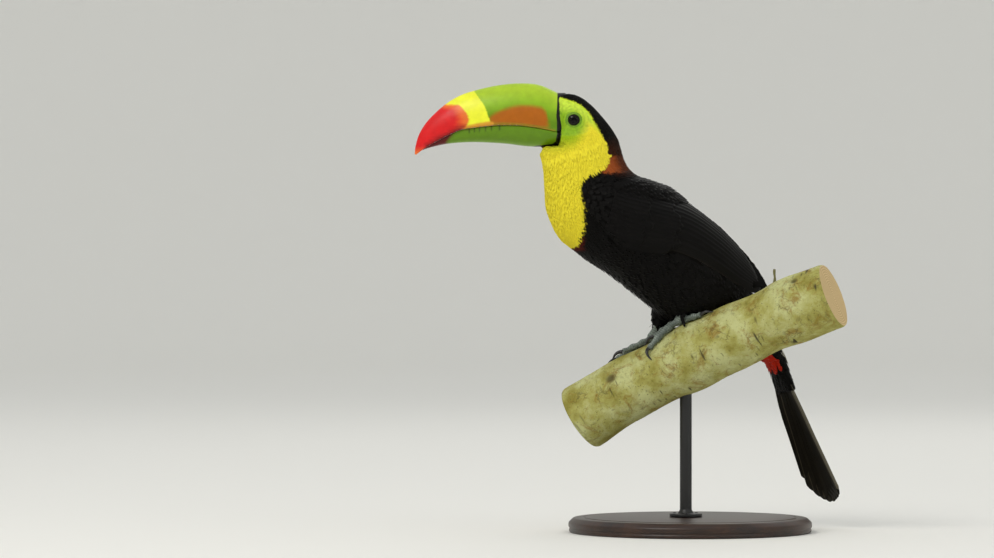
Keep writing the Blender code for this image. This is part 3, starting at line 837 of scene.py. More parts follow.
def round_eye(points, side):
    """How far points lie out from the eye's middle along its axis, and how far from that axis."""
    off = points - eye_centres()[side]
    return off[:, 1] * SIDES[side], np.hypot(off[:, 0], off[:, 2])


def past_black(t, a):
    """How far a place lies past the lower limit of the black, in mm, negative on the bib's side."""
    return (a - np.interp(t, *BLACK_BORDER)) * A_TO_MM


def face_distance(t, a):
    """How deep a place lies inside the bare face, in mm, negative outside it."""
    rear = np.interp(a, *FACE_BORDER, left=-0.6)
    under = (a - np.interp(t, FACE_BORDER[1, :4], FACE_BORDER[0, :4])) * A_TO_MM
    top = (np.interp(t, *BLACK_BORDER) - 0.015 - a) * A_TO_MM
    return np.minimum(np.minimum((rear - t) * T_TO_MM, top), np.where(t < 1.3, under, 99))


def bill_line(points):
    """How deep places lie inside the black line at the bill's base, in mm: round its rear, and under it."""
    x, _, z = ((points - HEAD_ORIGIN) / MM).T
    behind = np.interp(z, *BASE_LINE) - x
    behind = np.where(z < 366, np.minimum(behind, x + 25.9), behind)
    close = (x < -20) & (z > 345) & (z < 368)
    under = np.full(len(x), -9.0)
    horn = tree_of(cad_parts["bill_lower"].data)
    under[close] = 1.2 - distances(horn, points[close]) / MM
    return np.maximum(np.where(z > 355.5, behind, -9), np.minimum(under, -24.6 - x))


def between(low, full, less, none, x):
    """A share that rises from low to full, and falls from less to none."""
    return smoothstep(low, full, x) * (1 - smoothstep(less, none, x))


def marking_masks(t, a, wobble):
    """Shares of each marking at places on the coat: wobble, in mm, frays the borders."""
    over = past_black(t, a) + wobble
    bib = 1 - smoothstep(-0.6, 0.6, over)
    band = between(-0.4, 0.2, 0.6, 1.2, over) * smoothstep(4.48, 4.6, t)
    middle = between(4.70, 4.76, 4.80, 4.86, t) * (1 - smoothstep(0.03, 0.06, a))
    patch = between(2.38, 2.5, 2.86, 2.98, t) * smoothstep(0.60, 0.66, a)
    patch = patch * (1 - 0.7 * smoothstep(0.80, 0.92, a))
    hint = 0.10 * smoothstep(1.9, 2.3, t) * (1 - smoothstep(2.9, 3.2, t)) * smoothstep(0.7, 0.8, a)
    nape = np.maximum(patch, hint)
    rear = smoothstep(7.9, 8.05, t)
    rump = rear * smoothstep(0.72, 0.80, a)
    crissum = rear * (1 - smoothstep(0.30, 0.38, a))
    return bib, np.maximum(band, middle), nape, rump, crissum


def blended(base, share, colour):
    """Colours with another laid over them by a share for each."""
    return base + (np.array(colour[:3]) - base) * share[:, None]


def coat_colours(plumage, face, points, t, a, kind, wobble):
    """The colours that skin and coat share, as rows of linear red, green and blue."""
    bib, band, nape, rump, crissum = marking_masks(t, a, wobble)
    # The face's green passes into the bib's yellow with distance from the eye, sooner behind it, and into a
    # lighter green above it
    green, brow = np.zeros(len(t)), np.zeros(len(t))
    for side, sign in SIDES.items():
        _, off = round_eye(points, side)
        x, _, z = (points - eye_centres()[side]).T / MM
        mine = (points[:, 1] - HEAD_ORIGIN[1]) * sign > 0
        away = off / MM + 0.7 * np.clip(x, 0, None) + 0.45 * np.clip(x, None, 0)
        green = np.where(mine, 1 - smoothstep(10, 31, away), green)
        above = smoothstep(4, 14, z + 0.8 * np.clip(x, 0, None)) * (z > -4 - x)
        brow = np.where(mine, above * (1 - smoothstep(2.0, 2.3, t)), brow)
    past_root = ((world_to_bird(points) - TAIL_ROOT) @ TAIL_DIRECTION) / MM
    colours = np.tile(np.array(plumage.black[:]), (len(t), 1))
    for share, colour in (
        (1 - smoothstep(2.2, 2.8, t), plumage.crown),
        (nape, plumage.maroon),
        (bib, plumage.bib),
        (bib * smoothstep(2.6, 4.6, t) * 0.6, plumage.bib_deep),
        (bib * green * (t < 3), face.skin),
        (bib * brow, face.brow),
        (band, plumage.band),
        (rump * (1 - smoothstep(2, 6, past_root)), plumage.rump),
        (crissum * (1 - smoothstep(6, 10, past_root)), plumage.crissum),
    ):
        colours = blended(colours, share, colour)
    colours[(kind == WING) | (kind == THIGH)] = plumage.black[:]
    return colours


def face_colours(face, points, colours, bare):
    """The bare face's darker folds, the painted shade in the groove round the lids, and the lids."""
    deep = 0.28 * smoothstep(0.45, 0.8, 0.5 + 0.5 * noise_at(points, 2.6))
    lid = 0
    for side in SIDES:
        out, away = round_eye(points, side)
        # Painted shade darkens the groove round the lids
        deep = np.maximum(deep, (out > 0) * (1 - smoothstep(6.8 * MM, 8.4 * MM, away)) * 0.15)
        lid = np.maximum(lid, (out > 0) * (1 - smoothstep(6.6 * MM, 7.4 * MM, away)) * 0.9)
    return blended(blended(colours, deep * bare, face.fold), lid, face.lid)


def lid_profile(away):
    """Height over the face, in metres, of the lids and of the folds around them."""
    mm = away / MM
    ridge = 0.4 * np.exp(-(((mm - 6.15) / 0.75) ** 2))
    groove = -0.16 * np.exp(-(((mm - 7.75) / 0.4) ** 2))
    fold = 0.18 * np.exp(-(((mm - 8.9) / 0.6) ** 2)) - 0.12 * np.exp(-(((mm - 10.2) / 0.5) ** 2))
    return (ridge + groove + fold) * MM


def lid_ring(side, opening, radius):
    """The lids' rim, which hugs the eyeball."""
    # Distance from the opening's edge and height over the eyeball there, in mm
    profile = np.array(((-0.15, -0.7), (-0.05, 0.0), (0.1, 0.28), (0.4, 0.44), (0.85, 0.5), (1.35, 0.42),
                        (1.8, 0.2), (2.2, -0.5), (2.3, -1.6), (1.2, -1.6)))
    out, rise = profile.T
    angle = circle(LID_STEPS)[:, None]
    beads = 1 + 0.10 * np.sin(angle * 26) + 0.05 * np.sin(angle * 11 + 1)
    # The upper and lower lids meet in faint corners before and behind the eye
    away = (opening + out * MM) * (1 + 0.03 * np.cos(2 * angle))
    past = np.where(out < 1.0, away, opening + MM)
    height = np.sqrt(np.maximum(radius**2 - past**2, 0)) + rise * MM * np.where(rise > 0.1, beads, 1)
    rings = np.stack([away * np.cos(angle), SIDES[side] * height, away * np.sin(angle)], -1)
    rings += eye_centres()[side]
    # The last ring is the first again
    faces = grid_faces(LID_STEPS + 1, len(profile), True) % (LID_STEPS * len(profile))
    return build_mesh("lids", rings.reshape(-1, 3), faces[:, :: -SIDES[side]])


def fit_to_bill(mesh, t, a):
    """Brings the chin forward under the bill, and keeps the skin off the horn."""
    points = mesh_points(mesh) - HEAD_ORIGIN
    front = 1 - smoothstep(0.10, 0.34, a)
    points[:, 0] -= CHIN_FORWARD * (front * (1 - smoothstep(1.3, 2.5, t)))
    x, y, z = (points / MM).T
    # The chin's front corner reaches up to the keel, and the throat is full
    corner = np.interp(z, *CHIN_CORNER) * smoothstep(-28, -38, x) * np.exp(-((y / 9) ** 2))
    x = x - corner - 1.8 * (between(286, 302, 338, 350, z) * front)
    points[:, 0] = x * MM
    upper, lower = UPPER_STATIONS[::-1], LOWER_STATIONS[::-1]
    edge = np.interp(x, upper[:, 2], upper[:, 3])
    ridge, keel = np.interp(x, upper[:, 0], upper[:, 1]), np.interp(x, lower[:, 0], lower[:, 1])
    level = np.where(z > edge, (z - edge) / (ridge - edge), (edge - z) / (edge - keel)).clip(0, 1)
    room = np.where(z > edge, 16.8 * (1 - level**2.2) ** 0.62, 16.2 * (1 - level**2) ** 0.55) - 0.9
    # Inside the horn's shell the skin keeps clear of it; under the keel it is rounded off
    wide = np.abs(y)
    rounded_off = wide * np.sqrt(1 - ((z - keel + 3.5) / 3.5).clip(0, 1) ** 2)
    pressed = np.where(z > keel, np.minimum(wide, room.clip(0.5, None)), rounded_off)
    # Behind the gape the cheek widens quickly from the horn's width to its own
    back = (x - FACE_FRONT_X / MM).clip(0, None)
    flare = room.clip(0.5, None) + 1.2 + 2.2 * back + 30 * smoothstep(366, 374, z)
    under = rounded_off + (wide - rounded_off) * smoothstep(0, 7, back)
    cheek = np.where(z > keel, np.minimum(wide, flare), under)
    pressed = np.where(back > 0, cheek, pressed)
    points[:, 1] = np.sign(y) * pressed * MM
    set_points(mesh, points + HEAD_ORIGIN)


def refine_round_eyes(mesh):
    with edited(mesh) as bm:
        for reach in FINE_REACHES:
            chosen = set()
            for side, centre in eye_centres().items():
                for face in bm.faces:
                    off = face.calc_center_median() - Vector(centre)
                    if off.y * SIDES[side] > -0.006 and math.hypot(off.x, off.z) < reach:
                        chosen.update(face.edges)
            bmesh.ops.subdivide_edges(bm, edges=list(chosen), cuts=1, use_grid_fill=True)
        bmesh.ops.triangulate(bm, faces=[face for face in bm.faces if len(face.verts) > 4])


def raise_lids(points, opening):
    """Opens the skin over the eyeballs, and raises lids and folds round them."""
    radius = eye_radius()
    level = math.sqrt(radius**2 - (opening + MM) ** 2) - 0.2 * MM
    for side, sign in SIDES.items():
        out, away = round_eye(points, side)
        hidden = np.sqrt(np.maximum(radius**2 - away**2, 0)) - 1.3 * MM
        # The bare skin climbs to the lids where the face falls away before the eye
        climb = 1 - smoothstep(opening + 1.6 * MM, opening + 7 * MM, away)
        shown = out + np.maximum(level - out, 0) * climb + lid_profile(away)
        wall = smoothstep(opening - 0.1 * MM, opening + 0.35 * MM, away)
        # Low creases run round the eye
        creases = 0.06 * MM * np.sin(away / (0.62 * MM) + 1.5 * noise_at(points, 3.0))
        creases = creases * smoothstep(7.5 * MM, 9 * MM, away)
        moved = hidden + (np.maximum(shown, hidden) + creases - hidden) * wall
        fade = 1 - smoothstep(13 * MM, EYE_REACH, away)
        points[:, 1] += np.where((out > -0.006) & (away < EYE_REACH), (moved - out) * fade * sign, 0)


def make_skin(scene):
    plumage, face = scene.toucan_plumage, scene.toucan_face
    names = (*FLESH, "eye_left", "eye_right", "bill_upper", "bill_lower", "tail")
    solids = {name: welded(name) for name in names}
    trees = [tree_of(*(solids[name] for name in group)) for group in GROUND]
    grown = applied(joined("whole", *solids.values()), remeshing(plumage.voxel))
    keep_largest_island(grown)
    grown = applied(grown, smoothing(SKIN_SMOOTHING))

    points = mesh_points(grown)
    t, a, _ = coat_place(points)
    depth = np.interp(t, *BODY_DEPTHS) * MM * (plumage.coat_depth / COAT_DEPTH)
    depth = np.choose(nearest_kind(trees, points), (depth, *(mm * MM + 0 * t for mm in GROUND_DEPTHS)))
    depth = relaxed(depth, read(grown.edges, "vertices", 2, np.int32), 6)
    set_points(grown, points - mesh_normals(grown) * depth[:, None])
    grown = applied(grown, smoothing(2))
    fit_to_bill(grown, t, a)
    refine_round_eyes(grown)
    points = mesh_points(grown)
    raise_lids(points, face.opening)
    set_points(grown, points)

    t, a, _ = coat_place(points)
    kind = nearest_kind(trees, points)
    colours = coat_colours(plumage, face, points, t, a, kind, noise_at(points, 3.0) * 0.4)
    bare = smoothstep(-0.6, 0.9, face_distance(t, a) + 0.7 * noise_at(points, 4.0)) * (kind != WING)
    colours = face_colours(face, points, colours, bare)
    line = smoothstep(-0.35, 0.35, bill_line(points) + 0.25 * noise_at(points, 2.5)) * (kind != WING)
    add_attribute(grown, "tint", blended(colours, line, scene.toucan_bill.rim))
    add_attribute(grown, "bare", bare)
    lids = [lid_ring(side, face.opening, eye_radius()) for side in SIDES]
    for lid in lids:
        shade = 1 + 0.15 * noise_at(mesh_points(lid), 1.5)
        add_attribute(lid, "tint", shade[:, None] * np.array(face.lid[:]))
        add_attribute(lid, "bare", np.full(len(shade), 0.35))
    skin = joined("skin", grown, *lids)
    skin.shade_smooth()
    finishes = [skin_material("feathered_skin", 0.03), skin_material("bare_face_skin", 0.3)]
    add_piece(skin, finishes, (*FLESH, "tail"))
    bare = read(skin.attributes["bare"].data, "value")
    corners = read(skin.loops, "vertex_index", 1, np.int32)
    starts = read(skin.polygons, "loop_start", 1, np.int32)
    set_finishes(skin, bare[corners[starts]] > BARE_SHARE)


# ---------------------------------------------------------------- small feathers

# Rows of a small vane: share of its length and of its half width
CONTOUR_ROWS = ((0.0, 0.35), (0.25, 0.85), (0.52, 1.0), (0.76, 0.9), (0.91, 0.6))
SILKY_ROWS = ((0.0, 0.5), (0.3, 0.95), (0.62, 0.85), (0.86, 0.45))
# Length, width, spacing and height of the tip over the skin, in mm, and the rows of the vane
STYLES = {
    "crown": (4.2, 1.1, 0.95, 0.8, SILKY_ROWS),
    "nape": (7.0, 1.8, 1.45, 1.6, SILKY_ROWS),
    "chin": (3.6, 1.0, 0.92, 0.6, SILKY_ROWS),
    "bib": (8.0, 1.5, 1.16, 1.25, SILKY_ROWS),
    "breast": (11.0, 3.2, 2.4, 2.3, CONTOUR_ROWS),
    "belly": (14.0, 4.2, 3.0, 2.4, CONTOUR_ROWS),
    "mantle": (12.5, 4.4, 2.9, 2.3, CONTOUR_ROWS),
    "thigh": (7.5, 2.4, 1.9, 1.1, CONTOUR_ROWS),
    "tail_coverts": (13.0, 4.2, 2.9, 2.0, CONTOUR_ROWS),
    "wing_coverts": (10.0, 4.4, 2.9, 2.0, CONTOUR_ROWS),
}
# The pieces that the styles are gathered in: the styles, and the span of t that each piece's map holds
COAT_PIECES = {
    "head_feathers": (("crown", "nape", "chin", "bib"), (-0.6, 5.1)),
    "body_feathers": (("breast", "belly", "mantle", "thigh", "tail_coverts"), (2.6, 9.2)),
    "wing_coverts": (("wing_coverts",), (2.2, 8.0)),
}
# Across a small feather's own patch of the map
UV_PATCH = 0.003
# Feathers brighter than this hold carotenoids
COLOURED = 0.03


class Pelt:
    """The skin as a ground for feathers: its triangles, their kind, place on the coat and lie there."""

    def __init__(self, mesh):
        bm = bmesh.new()
        bm.from_mesh(mesh)
        bmesh.ops.triangulate(bm, faces=bm.faces)
        self.tree = BVHTree.FromBMesh(bm)
        corners = np.array([[v.index for v in f.verts] for f in bm.faces])
        bm.free()
        self.triangles = mesh_points(mesh)[corners]
        self.centres = self.triangles.mean(1)
        self.normals = unit(mesh_normals(mesh)[corners].mean(1))
        corner, one, two = self.triangles.transpose(1, 0, 2)
        cross = np.cross(one - corner, two - corner)
        self.areas = np.linalg.norm(cross, axis=1) / 2
        self.t, self.a, self.v = coat_place(self.centres)
        trees = [tree_of(*(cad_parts[name].data for name in group)) for group in GROUND]
        self.kind = nearest_kind(trees, self.centres)
        self.find_lie()

    def find_lie(self):
        """Feathers run back along the body, down the thighs and along the folded wing."""
        ahead = coat_point(np.minimum(self.t + 0.05, 9.05), self.a, self.v)
        lie = unit(ahead - coat_point(self.t - 0.05, self.a, self.v))
        self.wing_place = np.full((len(self.t), 2), -1.0)
        grids = np.meshgrid(np.linspace(0, WING_LAST, 55), np.linspace(0, 1, 15), indexing="ij")
        s, w = (grid.ravel() for grid in grids)
        for sign in SIDES.values():
            on_side = np.nonzero((self.kind == WING) & (world_to_bird(self.centres)[:, 1] * sign > 0))[0]
            spots, _ = wing_surface(s, w, sign)
            ahead, _ = wing_surface(s + 0.1, w, sign)
            for chunk in np.array_split(on_side, 1 + len(on_side) // 2000):
                best = ((self.centres[chunk][:, None] - spots[None]) ** 2).sum(2).argmin(1)
                lie[chunk] = unit(ahead[best] - spots[best])
                self.wing_place[chunk] = np.stack([s[best], w[best]], 1)
        for side, ball in BALLS.items():
            foot = on_perch(*ball, BALL_HEIGHT)
            off = np.abs(self.centres - foot)
            near = (self.kind == THIGH) & (off.sum(1) < 0.09) & (off[:, 1] < 0.016)
            hip = np.array([foot[0] + 0.012, foot[1], node_box(f"thigh_{side}")[1][2] * 0.985])
            lie[near] = unit(lie[near] * 0.35 + unit(foot - hip))
        lie[self.kind == STUB] = turned(TAIL_DIRECTION, BODY_YAW)
        self.lie = lie

    def styles(self):
        """Each triangle's style of feather, or none where it stays bare; later rules override the earlier."""
        t, a, kind = self.t, self.a, self.kind
        over = a - np.interp(t, *BLACK_BORDER)
        eyes = [round_eye(self.centres, side) for side in SIDES]
        style = np.full(len(t), "belly", "U12")
        for name, place in (
            ("breast", (t < 5.2) & (a < 0.6)),
            ("mantle", (a > 0.62) & (t > 2.9)),
            ("nape", (t <= 3.1) & (over > 0)),
            ("crown", (t <= 1.9) & (over > 0)),
            ("bib", (over <= 0.09) & (t > 1.7) & (t < 5.05) & (a < 0.8)),
            ("chin", (over <= 0) & (t <= 1.9)),
            ("tail_coverts", (t > 7.9) & ((a > 0.62) | (a < 0.42))),
            ("thigh", kind == THIGH),
            ("tail_coverts", kind == STUB),
            ("wing_coverts", kind == WING),
            ("", (kind == WING) & (self.wing_place[:, 0] > 3.4)),
            ("", kind == BILL),
            ("", (kind == BODY) & (face_distance(t, a) > 0.5)),
            ("", (kind == BODY) & (t < np.interp(a, *FACE_BORDER)) & (over < 0) & (a > 0.6)),
            ("", bill_line(self.centres) > -0.5),
            *(("", (out > 0) & (away < 10.5 * MM)) for out, away in eyes),
        ):
            style[place] = name
        return style

    def nearest(self, points):
        hits = [self.tree.find_nearest(p) for p in points.tolist()]
        return np.array([tuple(h[0]) for h in hits]), np.array([h[2] for h in hits])


def scattered(rng, pelt, chosen, spacing):
    """Roots on the chosen triangles, no two nearer than the spacing: their places and triangles."""
    areas = pelt.areas[chosen]
    tries = int(areas.sum() / spacing**2 * 2.4) + 1
    picks = chosen[rng.choice(len(chosen), tries, p=areas / areas.sum())]
    one, two = rng.random(tries), rng.random(tries)
    fold = one + two > 1
    one[fold], two[fold] = 1 - one[fold], 1 - two[fold]
    first, second, third = pelt.triangles[picks].swapaxes(0, 1)
    places = first + (second - first) * one[:, None] + (third - first) * two[:, None]
    taken, kept = {}, []
    around = [(i, j, k) for i in (-1, 0, 1) for j in (-1, 0, 1) for k in (-1, 0, 1)]
    cells = np.floor(places / spacing).astype(int).tolist()
    for index, ((x, y, z), (i, j, k)) in enumerate(zip(places.tolist(), cells)):
        near = (other for di, dj, dk in around for other in taken.get((i + di, j + dj, k + dk), ()))
        if all((x - ox) ** 2 + (y - oy) ** 2 + (z - oz) ** 2 >= spacing * spacing for ox, oy, oz in near):
            taken.setdefault((i, j, k), []).append((x, y, z))
            kept.append(index)
    return places[kept], picks[kept]


def small_vanes(rng, pelt, roots, triangles, scale, style, thickness):
    """Closed thin vanes on the pelt: points for each feather, and their places across and along it."""
    length, width, _, height, rows = style

    def uneven(by):
        return 1 + by * rng.standard_normal(len(roots)).clip(-2, 2)

    length = length * MM * (scale * uneven(0.12))
    width = width * MM * uneven(0.12)
    lift = height * scale * MM * uneven(0.07)
    swerve = rng.normal(0, 0.05, len(roots))
    roll = rng.normal(0, 0.025, len(roots))
    places, faces = roots, triangles
    before = 0.0
    centres, normals, grounds = [], [], []
    for share, _ in (*rows, (1.0, 0.0)):
        normal, run = pelt.normals[faces], pelt.lie[faces]
        run = unit(run - normal * (run * normal).sum(1, keepdims=True))
        run = unit(run + np.cross(normal, run) * swerve[:, None])
        if share > before:
            step = run * (length * (share - before))[:, None]
            ahead, found = pelt.nearest(places + step)
            # Where the skin turns away from the feather, its tip goes straight on
            lost = ((ahead - places) * run).sum(1) < 0.45 * np.linalg.norm(step, axis=1)
            places = np.where(lost[:, None], places + step, ahead)
            faces = np.where(lost, faces, found)
            normal = pelt.normals[faces]
            before = share
        centres.append(places + normal * (lift * (0.06 + 0.94 * share**1.15))[:, None])
        normals.append(normal)
        grounds.append(faces)
    centres = np.stack(centres, 1)
    normals = unit(np.stack(normals, 1))
    tangents = unit(np.gradient(centres, axis=1))
    normals = unit(normals - tangents * (normals * tangents).sum(2, keepdims=True))
    side = unit(np.cross(normals, tangents) + normals * roll[:, None, None])
    points = []
    for k, (share, wide) in enumerate(rows):
        half = (width / 2 * wide)[:, None]
        middle, out, aside = centres[:, k], normals[:, k], side[:, k] * half
        thick = out * (thickness * (1 - 0.5 * share))
        drop = out * half * 0.08
        points += [middle - aside - drop, middle + thick, middle + aside - drop, middle - thick]
    points.append(centres[:, -1])
    across = np.array([0.0, 0.5, 1.0, 0.5] * len(rows) + [0.5])
    lengthwise = np.append(np.repeat([share for share, _ in rows], 4), 1.0)
    return np.stack(points, 1), across, lengthwise, centres[:, 2], grounds[2]


def vane_faces(rows, count):
    """Faces of that many vanes of four-sided rows: quads, and the triangles at their tips."""
    j = np.arange(4)
    quads = np.concatenate([grid_faces(rows, 4, True), [[3, 2, 1, 0]]])
    tris = np.stack([rows * 4 - 4 + j, rows * 4 - 4 + (j + 1) % 4, np.full(4, rows * 4)], 1)
    starts = (np.arange(count) * (rows * 4 + 1))[:, None, None]
    return (quads + starts).reshape(-1, 4), (tris + starts).reshape(-1, 3)


def pelt_uv(t, a, v, span):
    """An unwrap of the body's own shape: along the lie, and round it from the back."""
    turn = np.arctan2(v / 0.040, (a - 0.5) * 2) / (2 * math.pi)
    low, high = span
    return np.stack([0.02 + 0.96 * (t - low) / (high - low), 0.5 + 0.96 * turn], 1)


class Vanes:
    """Feathers gathered for one piece."""

    def __init__(self, name):
        self.name = name
        self.start = 0
        self.groups = []

    def add(self, points, quads, tris, tints, vanes, places, edges, finish):
        """Points with their tint, place on the vane and place on the map; edges marks a vane's two edges."""
        per_face = [np.repeat(finish, len(faces) // len(finish)) for faces in (quads, tris)]
        group = points, quads + self.start, tris + self.start, tints, vanes, places, edges, *per_face
        self.groups.append(group)
        self.start += len(points)

    def build(self, slot, replaced=()):
        """Makes the piece; the vanes' two sides meet in a sharp edge, so that each side is lit as it lies."""
        points, quads, tris, tints, vanes, places, edges, *finish = map(np.concatenate, zip(*self.groups))
        mesh = build_mesh(self.name, points, quads, tris)
        add_attribute(mesh, "tint", tints)
        add_attribute(mesh, "vane", vanes)
        add_map(mesh, places)
        one, two = edges[read(mesh.edges, "vertices", 2, np.int32)].T
        sharp = mesh.attributes.new("sharp_edge", "BOOLEAN", "EDGE")
        sharp.data.foreach_set("value", (one > 0) & (one == two))
        # Black feathers hold melanin and are satin; the others hold carotenoids and are matt and silky
        materials = bpy.data.materials
        if "black_feather_vane" not in materials:
            feather_material("black_feather_vane", 0.5, 0.07, 0.0, 0.3, 0.25)
            feather_material("coloured_feather_vane", 0.8, 0.06, 0.08, 0.04, 0.08)
        finishes = [materials["black_feather_vane"], materials["coloured_feather_vane"]]
        add_piece(mesh, finishes, replaced)
        set_finishes(mesh, np.concatenate(finish))


def luminance(colours):
    return colours @ np.array([0.2126, 0.7152, 0.0722])


def make_coat(scene):
    plumage, face = scene.toucan_plumage, scene.toucan_face
    rng = np.random.default_rng(plumage.seed)
    pelt = Pelt(bpy.data.objects["skin"].data)
    styles = pelt.styles()
    bends = [wing_surface(0.3, 0.4, sign)[0] for sign in SIDES.values()]
    coats = {(piece, side): Vanes(f"{piece}_{side}") for piece in COAT_PIECES for side in SIDES}
    for name, style in STYLES.items():
        roots, found = scattered(rng, pelt, np.nonzero(styles == name)[0], style[2] * MM)
        t, a, v, kind = pelt.t[found], pelt.a[found], pelt.v[found], pelt.kind[found]
        # Feathers are shorter beside the bib's border, at the bend of the wing and on the tail's root
        scale = 1 - 0.68 * np.exp(-((past_black(t, a) / 4.5) ** 2)) * (kind == BODY) * (t < 5.1)
        from_bend = np.min([np.linalg.norm(roots - bend, axis=1) for bend in bends], 0)
        scale = np.minimum(scale, 1 - 0.5 * np.exp(-((from_bend / 0.016) ** 2)))
        past_root = (world_to_bird(roots) - TAIL_ROOT) @ TAIL_DIRECTION
        scale *= np.where(kind == STUB, np.interp(past_root, (0.016, 0.032), (0.75, 0.3)), 1)
        points, across, lengthwise, middles, ground = small_vanes(
            rng, pelt, roots, found, scale, style, plumage.thickness
        )
        # A feather takes the marking that its shown half lies in
        shown_t, shown_a, _ = coat_place(middles)
        wobble = rng.normal(0, 0.35, len(roots))
        tint = coat_colours(plumage, face, middles, shown_t, shown_a, pelt.kind[ground], wobble)
        bright = 1 + 0.035 * rng.standard_normal(len(roots)).clip(-2, 2)
        tint = (tint * bright[:, None]).clip(0, 1)
        luck = rng.random(len(roots)) * 10
        patch = np.stack([across - 0.5, lengthwise - 0.5], 1) * UV_PATCH
        edges = (across == 0) * 1 + (across == 1) * 2
        piece, span = next((piece, span) for piece, (names, span) in COAT_PIECES.items() if name in names)
        for side, sign in SIDES.items():
            mine = (v < 0) == (sign < 0)
            count = mine.sum()
            if not count:
                continue
            vane = np.stack(np.broadcast_arrays(across, lengthwise, luck[mine, None]), 2)
            places = pelt_uv(t[mine], a[mine], v[mine], span)[:, None] + patch
            coats[piece, side].add(
                points[mine].reshape(-1, 3), *vane_faces(len(style[4]), count),
                np.repeat(tint[mine], len(across), 0), vane.reshape(-1, 3), places.reshape(-1, 2),
                np.tile(edges, count), luminance(tint[mine]) > COLOURED,
            )
    for (piece, _), coat in coats.items():
        coat.build("yellow_plumage" if piece == "head_feathers" else "black_plumage")


# ---------------------------------------------------------------- quills of wings and tail

QUILL_ROWS = 22
# Where a quill's vane has points, from one edge to the other, with its shaft between the middle two
QUILL_COLUMNS = np.array((-1, -0.72, -0.4, -0.14, -0.045, 0.045, 0.14, 0.4, 0.72, 1))
# Half the thickness of a quill at its edges, and what its middle and its shaft add
QUILL_THICKNESS = (0.00012, 0.00010, 0.00022)
# Feathers in each row of the wing's coverts
COVERTS = 15


def quill(surface, start, end, half_width, lift, rounding, uneven, bend, luck, camber):
    """A long closed vane on a surface: from start to end, each a place along and across, with a raised shaft.

    lift is the height over the surface at root and tip, and rounding how far its edges stop short of it.
    """
    share = np.linspace(0, 1, QUILL_ROWS)[:, None] ** 0.9
    x = QUILL_COLUMNS
    half = half_width * np.minimum(1, 0.45 + 0.55 * smoothstep(0, 0.25, share))
    # The barbs part here and there at the vane's edge
    parted = 1 - 0.05 * np.abs(np.sin(share * (9 + luck) + luck * 7)) ** 6 * uneven
    reach = share - rounding * (np.abs(x) ** 2.2) * share**5
    along_s = start[0] + (end[0] - start[0]) * reach
    across_s = start[1] + (end[1] - start[1]) * share**bend
    rise = lift[0] + (lift[1] - lift[0]) * share - camber * x**2
    edge, middle, shaft = QUILL_THICKNESS
    thick = (edge + middle * (1 - np.abs(x)) + (np.abs(x) < 0.1) * shaft) * (1 - 0.45 * share)
    place, out = surface(along_s, across_s, x * (half * parted))
    top = place + out * (rise + thick)[..., None]
    under = place + out * (rise - thick)[..., None]
    both = np.concatenate([x, x[::-1]]) * 0.5 + 0.5
    return np.concatenate([top, under[:, ::-1]], 1), np.stack(np.broadcast_arrays(both, share, luck), -1)


def build_quills(name, slot, quills):
    """One piece of quills, each with rings, places on its vane, colours and a strip of the map."""
    vanes = Vanes(name)
    for index, (rings, vane, colours) in enumerate(quills):
        rows, columns, _ = rings.shape
        half = columns // 2
        # The two ends are closed strip by strip, so that each end face has four corners
        j = np.arange(half - 1)
        low = np.stack([j + 1, j, columns - 1 - j, columns - 2 - j], 1)
        quads = np.concatenate([grid_faces(rows, columns, True), low, low[:, ::-1] + (rows - 1) * columns])
        strip = (index + 0.06 + 0.88 * vane[..., 0]) / len(quills)
        places = np.stack([strip, 0.02 + 0.96 * vane[..., 1]], -1)
        edges = np.tile(np.isin(np.arange(columns), (0, half - 1, half, columns - 1)), rows) * 1
        vanes.add(
            rings.reshape(-1, 3), quads, np.empty((0, 3), int), colours.reshape(-1, 3), vane.reshape(-1, 3),
            places.reshape(-1, 2), edges, np.zeros(1),
        )
    vanes.build(slot)


def edged(vane, colours, edge_colour, side, low, high):
    """Colours that pass into another toward one edge of the vane, -1 or 1."""
    share = smoothstep(low, high, (vane[..., 0] - 0.5) * 2 * side)[..., None]
    return colours + (np.array(edge_colour[:]) - colours) * share


